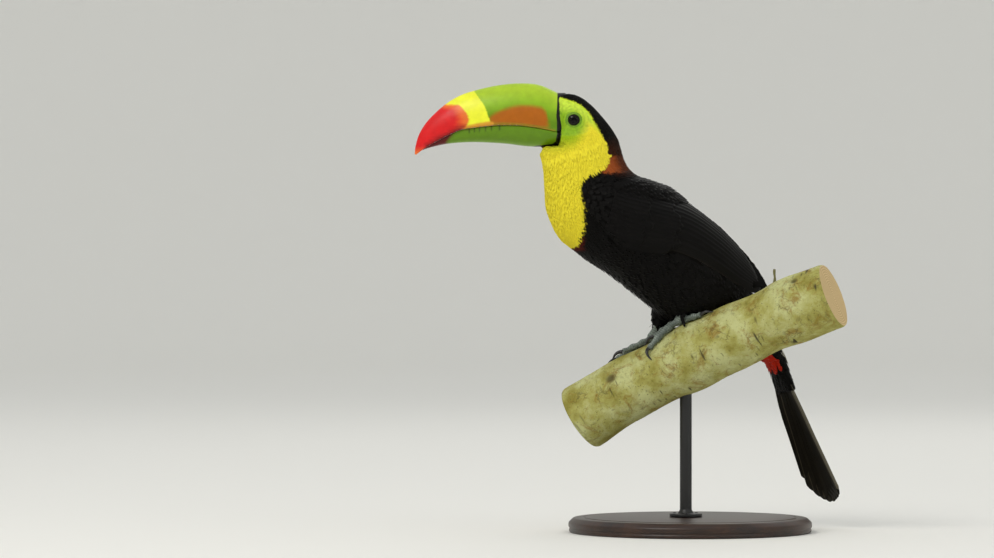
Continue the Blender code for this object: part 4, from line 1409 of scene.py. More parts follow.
def wing_quills(scene, side):
    """Median and greater coverts, secondaries and tertials, and the primaries' tips of a folded wing."""
    plumage = scene.toucan_plumage
    sign = SIDES[side]
    rng = np.random.default_rng(plumage.seed + 3)
    quills = []

    def surface(s, w, spread):
        lower, upper = (along(WING_STATIONS, np.clip(s, 0, WING_LAST))[..., i : i + 3] * MM for i in (0, 3))
        height = np.linalg.norm(upper - lower, axis=-1)
        up = np.clip(w + spread / np.maximum(height * 1.08, 0.004), -0.03, 1.03)
        return wing_surface(s, up, sign)

    def lay(start, end, half_width, lift, rounding, edge=False):
        luck = float(rng.random() * 10)
        tint = np.array(plumage.black[:]) * (1 + 0.12 * rng.standard_normal())
        rings, vane = quill(surface, start, end, half_width, lift, rounding, 1.0, 1.0, luck, 0.0005)
        if sign < 0:
            rings, vane = rings[:, ::-1], vane[:, ::-1]
        colours = np.tile(tint, (*vane.shape[:2], 1))
        if edge:
            colours = edged(vane, colours, plumage.wing_edge, -1, 0.82, 0.98)
        quills.append((rings, vane, colours))

    # Primaries: narrow, along the lower edge to the wing's tip
    for k in range(6):
        end = (9.0 - 0.34 * k, 0.35 + 0.02 * k)
        lay((4.9, 0.04 + 0.05 * k), end, 0.0042, (-0.0034, -0.0018 + 0.0001 * k), 0.02, edge=True)
    # Secondaries, from the lowest up to the tertials, each over the one below
    for k in range(11):
        share = k / 10
        root = (3.6 + 0.2 * share, 0.10 + 0.80 * share)
        tip = (8.35 - 1.55 * share**1.3, 0.22 + 0.74 * share)
        lay(root, tip, 0.0072, (-0.0022, -0.0011 + 0.0006 * share), 0.045, edge=k < 3)
    # Greater, then median coverts, in rows that overlap like tiles: start, end, shift, half width and lift
    rows = (2.9, 4.9, 0, 0.0056, -0.0003), (2.3, 3.95, 0.5, 0.0050, -0.0002)
    for s0, s1, shift, half_width, lift in rows:
        for k in range(COVERTS):
            share = (k + shift) / (COVERTS - 0.5)
            start = (s0 + 0.15 * share, 0.05 + 0.90 * share)
            end = (s1 - 0.5 * share + 0.10 * rng.standard_normal(), 0.06 + 0.88 * share)
            lay(start, end, half_width, (-0.0012, lift - 0.0003), 0.10)
    build_quills(f"wing_quills_{side}", "black_plumage", quills)


def make_wings(scene):
    for side in SIDES:
        wing_quills(scene, side)


def make_tail(scene):
    """Ten tail feathers: the middle pair lies on top, and each pair further out under the one within it."""
    plumage = scene.toucan_plumage
    rng = np.random.default_rng(plumage.seed + 5)
    quills = []

    def surface(d, x, spread):
        half = tail_half(d)
        return tail_surface(d, np.clip(x * half + spread, -half, half))

    for pair in range(5):
        for side, steps in ((-1, NEAR_STEPS), (1, FAR_STEPS)):
            layer = 0.0009 - 0.00052 * pair
            root = (0.02, side * (0.06 + 0.10 * pair))
            tip = (1 - steps[pair] / TAIL_LENGTH, side * (0.10 + 0.185 * pair))
            luck = float(rng.random() * 10)
            lift = (layer * 0.7, layer)
            width = 0.0066 - 0.0003 * pair
            rings, vane = quill(surface, root, tip, width, lift, 0.05, 1.4, 0.7, luck, 0.0002)
            tint = np.array(plumage.tail[:]) * (1 + 0.14 * rng.standard_normal())
            colours = np.tile(tint, (*vane.shape[:2], 1))
            # The outermost near feather's outer edge is painted paler, a painted highlight
            if pair == 4 and side < 0:
                colours = edged(vane, colours, plumage.wear_and_highlight, side, -0.5, -0.1)
            middle = (np.abs(vane[..., 0] - 0.5) < 0.04)[..., None] * (1 - 0.5 * vane[..., 1:2])
            quills.append((rings, vane, colours + (np.array(plumage.shaft[:]) - colours) * middle))
    build_quills("tail_quills", "tail_plumage", quills)


# ---------------------------------------------------------------- bill

UPPER_ROWS, LOWER_ROWS = 210, 170
BILL_COLUMNS = 30
BASE_ROWS = 8
BASE_OVERLAP_MM = 7.0
# About how far apart the first stations lie, in mm
STATION_MM = 16
# How far each cutting edge stays off the line where the two halves meet
EDGE_INSET = 0.0000625
TOOTH_HEIGHT = 0.02
# Limits of the markings on the upper mandible, in mm: X of the red tip's rear limit at each height Z, Z of
# its upper limit at each X, X of the yellow zone's rear limit at each height, and Z of the upper limits of the
# orange panel and of the amber streak at each X
RED_REAR = ((350, 362, 366, 369.9, 372.5, 375.3, 380.8, 386.4, 390, 392.9, 396),
            (-113, -113, -113, -112.5, -110.5, -107.8, -106.1, -108.7, -111.5, -114.2, -120))
RED_TOP = ((-151, -141, -134.6, -128.1, -120.7, -114.2, -100), (401, 401, 397.0, 394.6, 393.8, 394.0, 394.4))
YELLOW_LIMIT = ((379, 392, 406), (-87, -91.5, -101))
ORANGE_TOP = ((-88, -86.4, -76.2, -66.9, -57.7, -48.4, -40, -35.4, -34),
              (382, 384.1, 389.2, 392.0, 393.4, 392.9, 391.3, 387.4, 381))
AMBER_TOP = ((-122, -106.3, -94.8, -87.4, -83.5), (371.5, 375.6, 377.6, 378.6, 378.0))
# The lower mandible's dark tip ends along a slant: X of the limit at each height
LOWER_RED_REAR = ((360.1, 369.0), (-125.9, -119.8))
# The very point of the upper mandible is paler below this height
POINT_HEIGHT = 356.0
# X of the painted shadows of the upper mandible's teeth, dark ticks on the lower mandible's upper edge
TOOTH_SHADOWS = (-105.9, -101.2, -96.6, -91.1, -85.7, -78.3)
# Width of the black line on the horn at each height
UPPER_RIM = ((368, 375, 384, 393, 402, 406), (1.2, 1.0, 1.7, 0.9, 0.6, 0.5))
LOWER_RIM = ((356.0, 356.8, 357.4, 358.4, 360.5, 367, 370), (24, 20, 13, 5, 2.2, 1.0, 1.1))
# X of the bill's base
BASE_X = -25.1


def horn_material(bill):
    """Keratin over a honeycomb of bone: satin and faintly scratched, with growth lines along the bill."""
    made, tree, shader = new_material(
        "satin_bill_horn", 0.36, 0.24, Coat_Weight=0.045, Coat_Roughness=0.18, IOR=1.54,
        Subsurface_Weight=0.06, Subsurface_Radius=(0.003, 0.0018, 0.0006),
    )
    place = node(tree, "TexCoord", out="Object")
    # Growth lines run along the bill, about 1.2 mm apart
    stretch = node(tree, "Mapping", {"Vector": place, "Scale": (90.0, 620.0, 620.0)})
    lines = node(tree, "TexNoise", {"Vector": stretch, "Scale": 1.0, "Detail": 3.0})
    # Soft clouding of the colours, about 6 mm across
    cloud = node(tree, "TexNoise", {"Vector": place, "Scale": 150.0, "Detail": 2.0})
    fray = node(tree, "Math", (lines, 0.5), operation="SUBTRACT")
    height = node(tree, "Attribute", out="Fac", attribute_name="height")
    # The green colours paint light from above: a painted highlight toward the ridge and painted shade toward
    # the cutting edge; the lower mandible takes the shaded green, paling toward its keel as a painted
    # reflection
    lit_and_shaded_greens = ((0.0, bill.shaded_green), (0.22, bill.shaded_green), (0.55, bill.green), (0.85, bill.crest_highlight))
    colour = node(tree, "ValToRGB", (height,), stops=lit_and_shaded_greens)
    # Each marking's distance, how many mm the growth lines fray it, and where it starts and is full
    for name, fray_mm, low, high, over in (
        ("to_orange", 2.4, -2.8, 3.2, bill.orange),
        ("to_yellow", 1.6, -0.8, 0.9, bill.yellow),
        ("to_amber", 1.6, -1.2, 1.4, bill.amber),
        ("to_rust", 2.4, -1.4, 1.2, bill.rust),
        ("to_red", 4.0, -1.0, 12.0, bill.red),
        ("to_dark_red", 2.5, -2.5, 3.0, bill.dark_red),
        ("to_point", 1.5, -1.0, 8.0, bill.rust),
        # Dark ticks on the lower mandible are painted shadows of the upper mandible's teeth
        ("tooth_shadow", 0.4, 0.1, 1.5, bill.rim),
        ("to_rim", 0.5, -0.25, 0.35, bill.rim),
    ):
        distance = node(tree, "Attribute", out="Fac", attribute_name=name)
        moved = node(tree, "Math", (fray, fray_mm, distance), operation="MULTIPLY_ADD")
        share = node(tree, "MapRange", (moved, low, high), interpolation_type="SMOOTHSTEP")
        colour = node(tree, "Mix", {0: share, 6: colour, 7: over}, 2, data_type="RGBA")
    shade = node(tree, "MapRange", (cloud, 0.3, 0.7, 0.93, 1.07))
    shaded = node(tree, "VectorMath", (colour, shade), operation="MULTIPLY")
    rough = node(tree, "MapRange", (lines, 0.3, 0.7, 0.28, 0.42))
    relief = node(tree, "Bump", {"Height": lines, "Strength": 0.18, "Distance": 0.0005})
    feed(shader, {"Base Color": shaded, "Roughness": rough, "Normal": relief})
    return made


def mandible_mesh(name, stations, power, squeeze, rows, tooth_spacing, tooth_height):
    """A mandible through its stations: each ring goes up one side from the cutting edge, down the other."""
    t = np.concatenate([
        np.linspace(-BASE_OVERLAP_MM / STATION_MM, 0, BASE_ROWS)[:-1], np.linspace(0, len(stations) - 1, rows)
    ])
    inside = np.maximum(-t, 0)
    at = along(stations, np.maximum(t, 0))
    at[:, [0, 2]] += (inside * STATION_MM)[:, None]
    at[:, 4] -= inside * 3
    ridge, edge, half = at[:, 0:2] * MM, at[:, 2:4] * MM, at[:, 4] * MM
    rise = ridge - edge
    edge = edge + unit(rise) * np.minimum(EDGE_INSET, np.linalg.norm(rise, axis=1) / 4)[:, None]
    rise = ridge - edge
    h = 1 - (1 - np.linspace(0, 1, BILL_COLUMNS)) ** 1.9
    # The cutting edge is rounded, and drawn in a little
    wide = np.maximum(0, 1 - h**power) ** squeeze * (1 - 0.035 * np.exp(-h / 0.02))
    run = np.concatenate([[0], np.cumsum(np.linalg.norm(np.diff(edge, axis=0), axis=1))])
    run = run - run[BASE_ROWS - 1]
    toothed = between(0.22, 0.30, 0.86, 0.93, run / run[-1])
    teeth = np.maximum(0, np.cos(run / tooth_spacing * 2 * math.pi)) ** 9 * toothed
    lift = teeth[:, None] * np.exp(-((h / 0.045) ** 2)) * tooth_height
    out = edge[:, None] + rise[:, None] * (h + lift * (1 - h))[..., None]
    one, two = (np.stack([out[..., 0], sign * half[:, None] * wide, out[..., 1]], -1) for sign in (1, -1))
    inner = []
    for sign, part, height in ((-1, 0.82, 0.02), (-1, 0.4, 0.035), (1, 0.4, 0.035), (1, 0.82, 0.02)):
        floor = edge + rise * height
        inner.append(np.stack([floor[:, 0], sign * half * part, floor[:, 1]], -1)[:, None])
    rings = np.concatenate([one, two[:, -2::-1], *inner], 1)
    level = np.concatenate([h, h[-2::-1], [0, 0, 0, 0]])
    # Two more points close the ends
    return lofted(name, rings + HEAD_ORIGIN), np.append(np.tile(level, len(rings)), [0, 0])


def paint_bill(mesh, level, upper):
    """Distances to the markings' limits, in mm, for the horn's material."""
    x, _, z = ((mesh_points(mesh) - HEAD_ORIGIN) / MM).T
    names = ("to_orange", "to_yellow", "to_amber", "to_rust", "to_red", "to_dark_red", "to_point", "tooth_shadow")
    marks = {name: np.full(len(x), -20.0) for name in names}
    # Height on the mandible, which places the painted highlight and painted shade of its green colours
    marks["height"] = level if upper else 0.34 * level**2
    marks["to_rim"] = x - BASE_X + np.interp(z, *(UPPER_RIM if upper else LOWER_RIM))
    stations = UPPER_STATIONS[::-1]
    edge = np.interp(x, stations[:, 2], stations[:, 3])
    if upper:
        # A soft minimum rounds the panel's corners
        limits = np.stack([np.interp(x, *ORANGE_TOP) - z, z - edge - 0.8, x + 89, -33.5 - x])
        marks["to_orange"] = -2 * np.log(np.exp(-limits.clip(-20, 20) / 2).sum(0))
        marks["to_yellow"] = np.interp(z, *YELLOW_LIMIT) - x
        streak = np.minimum(np.interp(x, *AMBER_TOP) - z, np.minimum(-83.5 - x, x + 124))
        # It goes on to the gape as a thin line
        border = np.minimum(0.7 - np.abs(z - edge - 1.0), np.minimum(x + 90, -28 - x))
        marks["to_amber"] = np.maximum(streak, border)
        behind, above = np.interp(z, *RED_REAR) - x, np.interp(x, *RED_TOP) - z
        marks["to_rust"] = np.minimum(behind, above)
        # The red deepens toward the cutting edge
        low_down = 1 - smoothstep(2, 8, z - edge)
        marks["to_red"] = np.minimum(behind, 2 * above + 1.5) - 2 + 5 * low_down * (behind > 0)
        marks["to_dark_red"] = np.minimum(1.6 - 0.55 * (z - edge), np.minimum(behind - 1.0, x + 146))
        marks["to_point"] = POINT_HEIGHT - z
    else:
        marks["to_dark_red"] = np.interp(z, *LOWER_RED_REAR) - x
        # Painted shadows of the upper mandible's teeth, as dark ticks along its upper edge
        gap = np.abs(x[:, None] - np.array(TOOTH_SHADOWS)).min(1)
        marks["tooth_shadow"] = np.exp(-(gap**2)) * smoothstep(6.8, 3.0, edge - z)
    for name, values in marks.items():
        add_attribute(mesh, name, values)


def make_bill(scene):
    bill = scene.toucan_bill
    horn = horn_material(bill)
    for name, stations, power, squeeze, rows, tooth_height in (
        ("bill_upper", UPPER_STATIONS, 2.2, 0.62, UPPER_ROWS, TOOTH_HEIGHT),
        ("bill_lower", LOWER_STATIONS, 2.0, 0.55, LOWER_ROWS, 0),
    ):
        mesh, level = mandible_mesh(
            f"{name}_horn", stations, power, squeeze, rows, bill.tooth_spacing, tooth_height
        )
        paint_bill(mesh, level, name == "bill_upper")
        face_outward(mesh)
        add_piece(mesh, [horn], (name,))


# ---------------------------------------------------------------- eyes

EYE_RINGS, EYE_SEGMENTS = 72, 96
PUPIL_RADIUS_MM, IRIS_RADIUS_MM = 2.9, 5.4


def eye_material(face):
    """Wet cornea over a dark iris: the deep colour shows under a hard clear gloss."""
    made, tree, shader = new_material(
        "wet_dark_eye", 0.06, 0.16, Coat_Weight=0.12, Coat_Roughness=0.015, IOR=1.376
    )
    away = node(tree, "Attribute", out="Fac", attribute_name="away_mm")
    ray = node(tree, "Attribute", out="Vector", attribute_name="ray")
    fibres = node(tree, "TexNoise", {"Vector": ray, "Scale": 9.0, "Detail": 3.0})
    pupil = node(tree, "MapRange", (away, PUPIL_RADIUS_MM - 0.12, PUPIL_RADIUS_MM + 0.12))
    edge = node(tree, "MapRange", (away, IRIS_RADIUS_MM - 0.9, IRIS_RADIUS_MM, 1.0, 0.35))
    shade = node(tree, "Math", (fibres, edge), operation="MULTIPLY")
    bright = node(tree, "Math", (shade, 2.0), operation="MULTIPLY")
    iris = node(tree, "VectorMath", (face.iris[:], bright), operation="MULTIPLY")
    colour = node(tree, "Mix", {0: pupil, 6: face.pupil, 7: iris}, 2, data_type="RGBA")
    feed(shader, {"Base Color": colour})
    return made


def make_eyes(scene):
    finish = eye_material(scene.toucan_face)
    polar = np.linspace(0.012, math.pi - 0.012, EYE_RINGS)
    turn = circle(EYE_SEGMENTS)
    # The cornea is curved more than the rest and stands a little proud
    reach = eye_radius() * (1 + 0.012 * np.exp(-((polar / 0.5) ** 4)))
    out, away = (reach * np.cos(polar))[:, None], (reach * np.sin(polar))[:, None]
    for side, centre in eye_centres().items():
        depth = SIDES[side] * out + 0 * turn
        rings = np.stack([away * np.cos(turn), depth, away * np.sin(turn)], -1)
        mesh = lofted(f"eyeball_{side}", rings + centre)
        points = mesh_points(mesh)
        front, off = round_eye(points, side)
        add_attribute(mesh, "away_mm", np.where(front > 0, off / MM, 9))
        rays = (points - centre) / np.maximum(off, 1e-5)[:, None]
        add_attribute(mesh, "ray", np.stack([rays[:, 0], 0.15 * off / MM, rays[:, 2]], 1))
        face_outward(mesh)
        add_piece(mesh, [finish], (f"eye_{side}",))


# ---------------------------------------------------------------- feet and claws

TOE_SIDES, TOE_ROWS, CLAW_SIDES, CLAW_ROWS, SHANK_ROWS = 24, 60, 18, 28, 40


def scute_material(foot):
    """Scaly skin of a foot: dry satin scales with darker, matt skin between them."""
    made, tree, shader = new_material("scaly_foot_skin", 0.55, 0.35)
    scale = node(tree, "Attribute", out="Fac", attribute_name="scale")
    place = node(tree, "TexCoord", out="Object")
    grains = node(tree, "TexVoronoi", {"Vector": place, "Scale": 900.0})
    grained = node(tree, "Math", (grains, -0.35, scale), operation="MULTIPLY_ADD")
    # Dust and wear in patches about 6 mm across
    wear_and_highlight = node(tree, "TexNoise", {"Vector": place, "Scale": 160.0, "Detail": 3.0})
    dulled = node(tree, "MapRange", (wear_and_highlight, 0.35, 0.62, 0.45, 1.05))
    share = node(tree, "Math", (grained, dulled), operation="MULTIPLY")
    colour = node(tree, "ValToRGB", (share,), stops=((0.0, foot.dark), (0.75, foot.light)))
    relief = node(tree, "Bump", {"Height": share, "Strength": 0.4, "Distance": 0.0004})
    feed(shader, {"Base Color": colour, "Normal": relief})
    return made


def claw_material(foot):
    """Claw horn: dark, polished by use, with lines along it."""
    made, tree, shader = new_material("polished_claw_horn", 0.3, 0.5)
    place = node(tree, "TexCoord", out="Object")
    lines = node(tree, "TexNoise", {"Vector": place, "Scale": 700.0, "Detail": 2.0})
    light = [2.2 * c for c in foot.claw]
    colour = node(tree, "ValToRGB", (lines,), stops=((0.35, foot.claw), (0.75, light)))
    relief = node(tree, "Bump", {"Height": lines, "Strength": 0.2, "Distance": 0.0003})
    feed(shader, {"Base Color": colour, "Normal": relief})
    return made


def toe_line(side, heading, length, root, tip):
    """A toe's middle line and its radius along it, with a pad under each joint."""
    share = np.linspace(0, 1, TOE_ROWS)
    thick = root + (tip - root) * share
    radius = thick + 0.00055 * np.cos(share * 6 * math.pi)
    radius = radius * np.where(share > 0.94, 1 - 0.22 * ((share - 0.94) / 0.06) ** 2, 1)
    run = length * share
    line = over_perch(BALLS[side], run * math.cos(heading), run * math.sin(heading), thick + PERCH_GAP)
    return line, radius


def claw_line(side, heading, length, tip, turn, hook):
    """A claw's middle line and radius: from the toe's tip it arches to the bark, hooking aside on its way."""
    share = np.linspace(0, 1, CLAW_ROWS)
    arch = tip + 0.0016 * np.sin(math.pi * np.minimum(1, share * 1.3)) - (tip - 0.0003) * share**1.5
    steps = np.diff(share, prepend=0) * (CLAW_LENGTH + CLAW_GAP) * (1.15 - 0.35 * share)
    aim = heading + (turn + hook * share) * smoothstep(-0.1, 0.25, share)
    start = length + CLAW_GAP * 0.2
    down = start * math.cos(heading) + np.cumsum(steps * np.cos(aim))
    near = start * math.sin(heading) + np.cumsum(steps * np.sin(aim))
    return over_perch(BALLS[side], down, near, arch + PERCH_GAP), 0.0017 * (1 - share) ** 0.7 + 0.0002


def shank_line(side):
    x, angle = BALLS[side]
    _, uphill, up, _ = perch_frame(x)
    share = np.linspace(0, len(SHANK_HEIGHTS) - 1, SHANK_ROWS)
    rise = unit(up * 0.6 + uphill * 0.8) * along(SHANK_HEIGHTS, share)[:, None]
    return on_perch(x, angle, BALL_HEIGHT) + rise, along(SHANK_RADII, share)


def nearest_run(points, line):
    """For each point, how far it is from a line of points, and how far along the line that is."""
    gaps = np.linalg.norm(points[:, None] - line[None], axis=2)
    best = gaps.argmin(1)
    run = np.concatenate([[0], np.cumsum(np.linalg.norm(np.diff(line, axis=0), axis=1))])
    tangent = unit(np.gradient(line, axis=0))[best]
    return gaps.min(1), run[best] + ((points - line[best]) * tangent).sum(1)


def make_feet(scene):
    foot = scene.toucan_foot
    scales, horn = scute_material(foot), claw_material(foot)
    for side, toes in TOES.items():
        lines = [shank_line(side)]
        lines += [toe_line(side, math.radians(heading), *sizes) for _, heading, *sizes in toes]
        tubes = [lofted("tube", swept_rings(points, radii, TOE_SIDES)) for points, radii in lines]
        mesh = applied(joined("whole", *tubes), remeshing(foot.grain), smoothing(5))
        mesh.name = f"foot_{side}_scutes"
        points, normals = mesh_points(mesh), mesh_normals(mesh)
        gaps, runs = zip(*(nearest_run(points, line[::2]) for line, _ in lines))
        best = np.argmin([gap - radii[::2].mean() for gap, (_, radii) in zip(gaps, lines)], 0)
        _, _, up, _ = perch_frame(points[:, 0])
        # Broad plates across the top of each toe, and small grains at its sides and under it
        plate = (np.choose(best, runs) / foot.scute) % 1
        ridge = np.minimum(1, 6 * np.minimum(plate, 1 - plate))
        top = np.where(best == 0, 1, smoothstep(-0.1, 0.45, (normals * up).sum(1)))
        grains = 0.5 + 0.5 * noise_at(points, 0.9)
        scale = ridge * top + grains * (1 - top)
        relief = (scale - 0.7) * 0.00022 + (grains - 0.5) * 0.0001
        set_points(mesh, points + normals * relief[:, None])
        add_attribute(mesh, "scale", scale)
        mesh.shade_smooth()
        add_piece(mesh, [scales], (f"foot_{side}",))
        for name, heading, length, _, tip in toes:
            hook = CLAW_HOOKS.get((side, name), (0.0, 0.3))
            line, radius = claw_line(side, math.radians(heading), length, tip, *hook)
            claw = lofted(f"claw_{side}_{name}_horn", swept_rings(line, radius, CLAW_SIDES))
            add_piece(claw, [horn], (f"claw_{side}_{name}",))


# ---------------------------------------------------------------- branch

PERCH_ROWS, PERCH_COLUMNS = 300, 220
TWIG_X, TWIG_ANGLE = 0.0851, 0.1
# The twig's collar and two knots: X, angle, width and height
LUMPS = ((TWIG_X, TWIG_ANGLE, 0.0050, 0.0016), (-0.058, -1.15, 0.0085, 0.0024), (0.106, -0.75, 0.006, 0.0018))
# Each sawn end's rings, as shares of its outline, from the rim to the middle
SAWN = np.linspace(1, 0.02, 24)[1:]
BARK_RING_MM = 30.0


def bark_material(perch):
    """Smooth tropical bark: pale green-grey, mottled olive, stained brown, netted with fine dark cracks."""
    made, tree, shader = new_material("smooth_pale_bark", 0.85, 0.15)
    place = node(tree, "TexCoord", out="Object")
    crack = node(tree, "Attribute", out="Fac", attribute_name="crack")
    # Mottling about 30 mm across, broken up down to 1 mm
    mottle = node(tree, "TexNoise", {"Vector": place, "Scale": 34.0, "Detail": 10.0, "Roughness": 0.66})
    shades = (0.34, perch.dark), (0.46, perch.ochre), (0.60, perch.pale)
    base = node(tree, "ValToRGB", (mottle,), stops=shades)
    # Stains about 12 mm across
    stains = {"Vector": place, "Scale": 60.0, "Detail": 7.0, "Roughness": 0.75, "Distortion": 0.8}
    stain = node(tree, "MapRange", (node(tree, "TexNoise", stains), 0.52, 0.64, 0.0, 0.7))
    stained = node(tree, "Mix", {0: stain, 6: base, 7: perch.stain}, 2, data_type="RGBA")
    # A net of cracks whose meshes are about 10 mm wide, in places
    swirl = node(tree, "TexNoise", {"Vector": place, "Scale": 160.0, "Detail": 3.0}, "Color")
    bent = node(tree, "VectorMath", (swirl, (0.011, 0.011, 0.011), place), operation="MULTIPLY_ADD")
    net = node(tree, "TexVoronoi", {"Vector": bent, "Scale": 95.0}, feature="DISTANCE_TO_EDGE")
    line = node(tree, "MapRange", (net, 0.07, 0.0, 0.0, 0.55))
    patches = node(tree, "TexNoise", {"Vector": place, "Scale": 60.0, "Detail": 3.0, "Roughness": 0.5})
    cracked = node(tree, "MapRange", (patches, 0.48, 0.62, 0.0, 1.0))
    netted = node(tree, "Math", (line, cracked), operation="MULTIPLY")
    # Specks under 1 mm
    grain = node(tree, "TexNoise", {"Vector": place, "Scale": 620.0, "Detail": 4.0, "Roughness": 0.6})
    speck = node(tree, "MapRange", (grain, 0.40, 0.30, 0.0, 0.7))
    specks = node(tree, "Math", (speck, netted), operation="MAXIMUM")
    spots = node(tree, "Math", (specks, crack), operation="MAXIMUM", use_clamp=True)
    colour = node(tree, "Mix", {0: spots, 6: stained, 7: perch.crack}, 2, data_type="RGBA")
    height = node(tree, "Math", (mottle, 2.0, grain), operation="MULTIPLY_ADD")
    sunk = node(tree, "Math", (spots, -0.8, height), operation="MULTIPLY_ADD")
    relief = node(tree, "Bump", {"Height": sunk, "Strength": 0.6, "Distance": 0.0008})
    feed(shader, {"Base Color": colour, "Normal": relief})
    return made


def sawn_wood_material(perch):
    """Cross-cut wood: pale, with yearly rings about 2.4 mm apart and the fine scratches of a saw."""
    made, tree, shader = new_material("cross_cut_wood", 0.8, 0.2)
    ring = node(tree, "Attribute", out="Fac", attribute_name="ring_mm")
    place = node(tree, "TexCoord", out="Object")
    blur = node(tree, "TexNoise", {"Vector": place, "Scale": 90.0, "Detail": 3.0})
    moved = node(tree, "Math", (blur, 2.2, ring), operation="MULTIPLY_ADD")
    turns = node(tree, "Math", (moved, 2.6), operation="MULTIPLY")
    wave = node(tree, "Math", (turns,), operation="SINE")
    late = node(tree, "MapRange", (wave, -0.4, 1.0))
    share = node(tree, "Math", (late, 0.55), operation="MULTIPLY")
    colour = node(tree, "Mix", {0: share, 6: perch.wood, 7: perch.heart}, 2, data_type="RGBA")
    relief = node(tree, "Bump", {"Height": wave, "Strength": 0.15, "Distance": 0.0003})
    feed(shader, {"Base Color": colour, "Normal": relief})
    return made


def bark_relief(points, x, angle):
    """How far the bark stands over the plain branch, in metres, and how cracked it is there."""
    lumps = noise_at(points, 16.0) * 0.30 + noise_at(points, 6.0, 5.0) * 0.14
    # Wrinkles run round the branch, about 2 mm apart
    wrapped = np.stack([x / (2.2 * MM), np.cos(angle) * 1.6, np.sin(angle) * 1.6], 1)
    wrinkle = noise_at(wrapped, 1 / MM)
    crack = smoothstep(0.42, 0.62, wrinkle) * smoothstep(-0.05, 0.25, noise_at(points, 22.0, 9.0))
    return (lumps + 0.10 * wrinkle - 0.35 * crack - 0.28) * MM, crack


def sawn_end(outline, centre, uphill):
    """Rings from a sawn end's outline to its middle, with the marks of the saw."""
    rings = centre + (outline - centre) * SAWN[:, None, None]
    return rings + uphill * (0.00008 * np.sin(rings[..., 2:] * 2600))


def make_perch(scene):
    perch = scene.toucan_perch
    ends = PERCH_AXIS[[0, -1], 0] * MM
    x = np.linspace(*ends, PERCH_ROWS)
    angle = circle(PERCH_COLUMNS)
    place, uphill, up, far = perch_frame(x)
    ray = up[:, None] * np.cos(angle)[None, :, None] + far[:, None] * np.sin(angle)[None, :, None]
    radius = perch_radius(x)[:, None]
    plain = (place[:, None] + ray * radius[..., None]).reshape(-1, 3)
    relief, crack = bark_relief(plain, np.repeat(x, PERCH_COLUMNS), np.tile(angle, PERCH_ROWS))
    relief, crack = relief.reshape(PERCH_ROWS, -1), crack.reshape(PERCH_ROWS, -1)
    for at, turn, wide, high in LUMPS:
        gap = np.hypot(x[:, None] - at, ((angle - turn + math.pi) % (2 * math.pi) - math.pi) * PERCH_RADIUS)
        collar = np.exp(-((gap / wide) ** 2)) - 1.25 * np.exp(-((gap / (0.45 * wide)) ** 2))
        relief = relief + high * collar
        crack = np.maximum(crack, np.exp(-((gap / (0.5 * wide)) ** 4)) * 0.8)
    # The saw's rim is rounded by wear
    rim = np.minimum(x - ends[0], ends[1] - x)[:, None]
    relief = relief - 0.0011 * np.exp(-rim / 0.0011)
    sides = place[:, None] + ray * (radius + relief)[..., None]
    low, high = (sawn_end(sides[row], place[row], uphill[row]) for row in (0, -1))
    bark = lofted("bark", np.concatenate([low[::-1], sides, high]))
    # The last two points are the middles of the sawn ends
    points = mesh_points(bark)
    points[-2:] = place[[0, -1]]
    set_points(bark, points)
    wood = SAWN * PERCH_RADIUS / MM
    rings = np.concatenate([wood[::-1], np.full(PERCH_ROWS, BARK_RING_MM), wood])
    none = np.zeros(len(SAWN) * PERCH_COLUMNS)
    add_attribute(bark, "ring_mm", np.append(np.repeat(rings, PERCH_COLUMNS), [0, 0]))
    add_attribute(bark, "crack", np.concatenate([none, crack.ravel(), none, [0, 0]]))
    # The broken twig in its collar
    share = np.linspace(0, 1, 16)
    rise = 0.0135 * share - 0.002
    line = on_perch(TWIG_X + 0.42 * rise + 0.0006 * np.sin(share * 5), TWIG_ANGLE + 0 * share, rise)
    twig = lofted("twig", swept_rings(line, 0.0014 - 0.0004 * share + 0.0002 * np.sin(share * 9), 20))
    add_attribute(twig, "ring_mm", np.full(len(twig.vertices), BARK_RING_MM))
    add_attribute(twig, "crack", np.full(len(twig.vertices), 0.75))
    mesh = joined("branch", bark, twig)
    face_outward(mesh)
    add_piece(mesh, [bark_material(perch), sawn_wood_material(perch)], ("perch",))
    # Bark, but for the sawn ends, whose faces come before and after it
    first, last = len(none), len(none) + (PERCH_ROWS - 1) * PERCH_COLUMNS
    number = np.arange(len(mesh.polygons))
    set_finishes(mesh, (number < first) | ((number >= last) & (number < len(bark.polygons))))


# ---------------------------------------------------------------- stand

SCREWS = 3


def lathe(name, profile, steps):
    """A closed mesh turned about Z from (radius, height) points, from the top of the middle to the bottom."""
    return lofted(name, lathe_rings(profile, steps))


def rounded(profile, bevel, parts=4):
    """A profile whose inner corners are rounded off."""
    points = [Vector(p) for p in profile]
    made = [points[0]]
    for before, corner, after in zip(points, points[1:], points[2:]):
        reach = min(bevel, (corner - before).length * 0.45, (after - corner).length * 0.45)
        one, two = (corner + (end - corner).normalized() * reach for end in (before, after))
        for s in np.arange(parts + 1) / parts:
            made.append(one * (1 - s) ** 2 + corner * 2 * s * (1 - s) + two * s**2)
    return [*made, points[-1]]


def wood_material(stand):
    """Beech, stained dark and waxed: short fine pores, with a soft gloss."""
    made, tree, shader = new_material("dark_stained_beech", 0.42, 0.4, Coat_Weight=0.2, Coat_Roughness=0.3)
    place = node(tree, "TexCoord", out="Object")
    # Pores are about 0.5 mm wide and 8 mm long
    stretch = node(tree, "Mapping", {"Vector": place, "Scale": (60.0, 900.0, 900.0)})
    pores = node(tree, "TexNoise", {"Vector": stretch, "Scale": 1.0, "Detail": 3.0})
    figure = node(tree, "TexNoise", {"Vector": stretch, "Scale": 0.08, "Detail": 3.0})
    both = node(tree, "Math", (pores, 0.6, figure), operation="MULTIPLY_ADD")
    colour = node(tree, "ValToRGB", (both,), stops=((0.62, stand.pore), (0.95, stand.wood)))
    relief = node(tree, "Bump", {"Height": pores, "Strength": 0.12, "Distance": 0.0004})
    feed(shader, {"Base Color": colour, "Normal": relief})
    return made


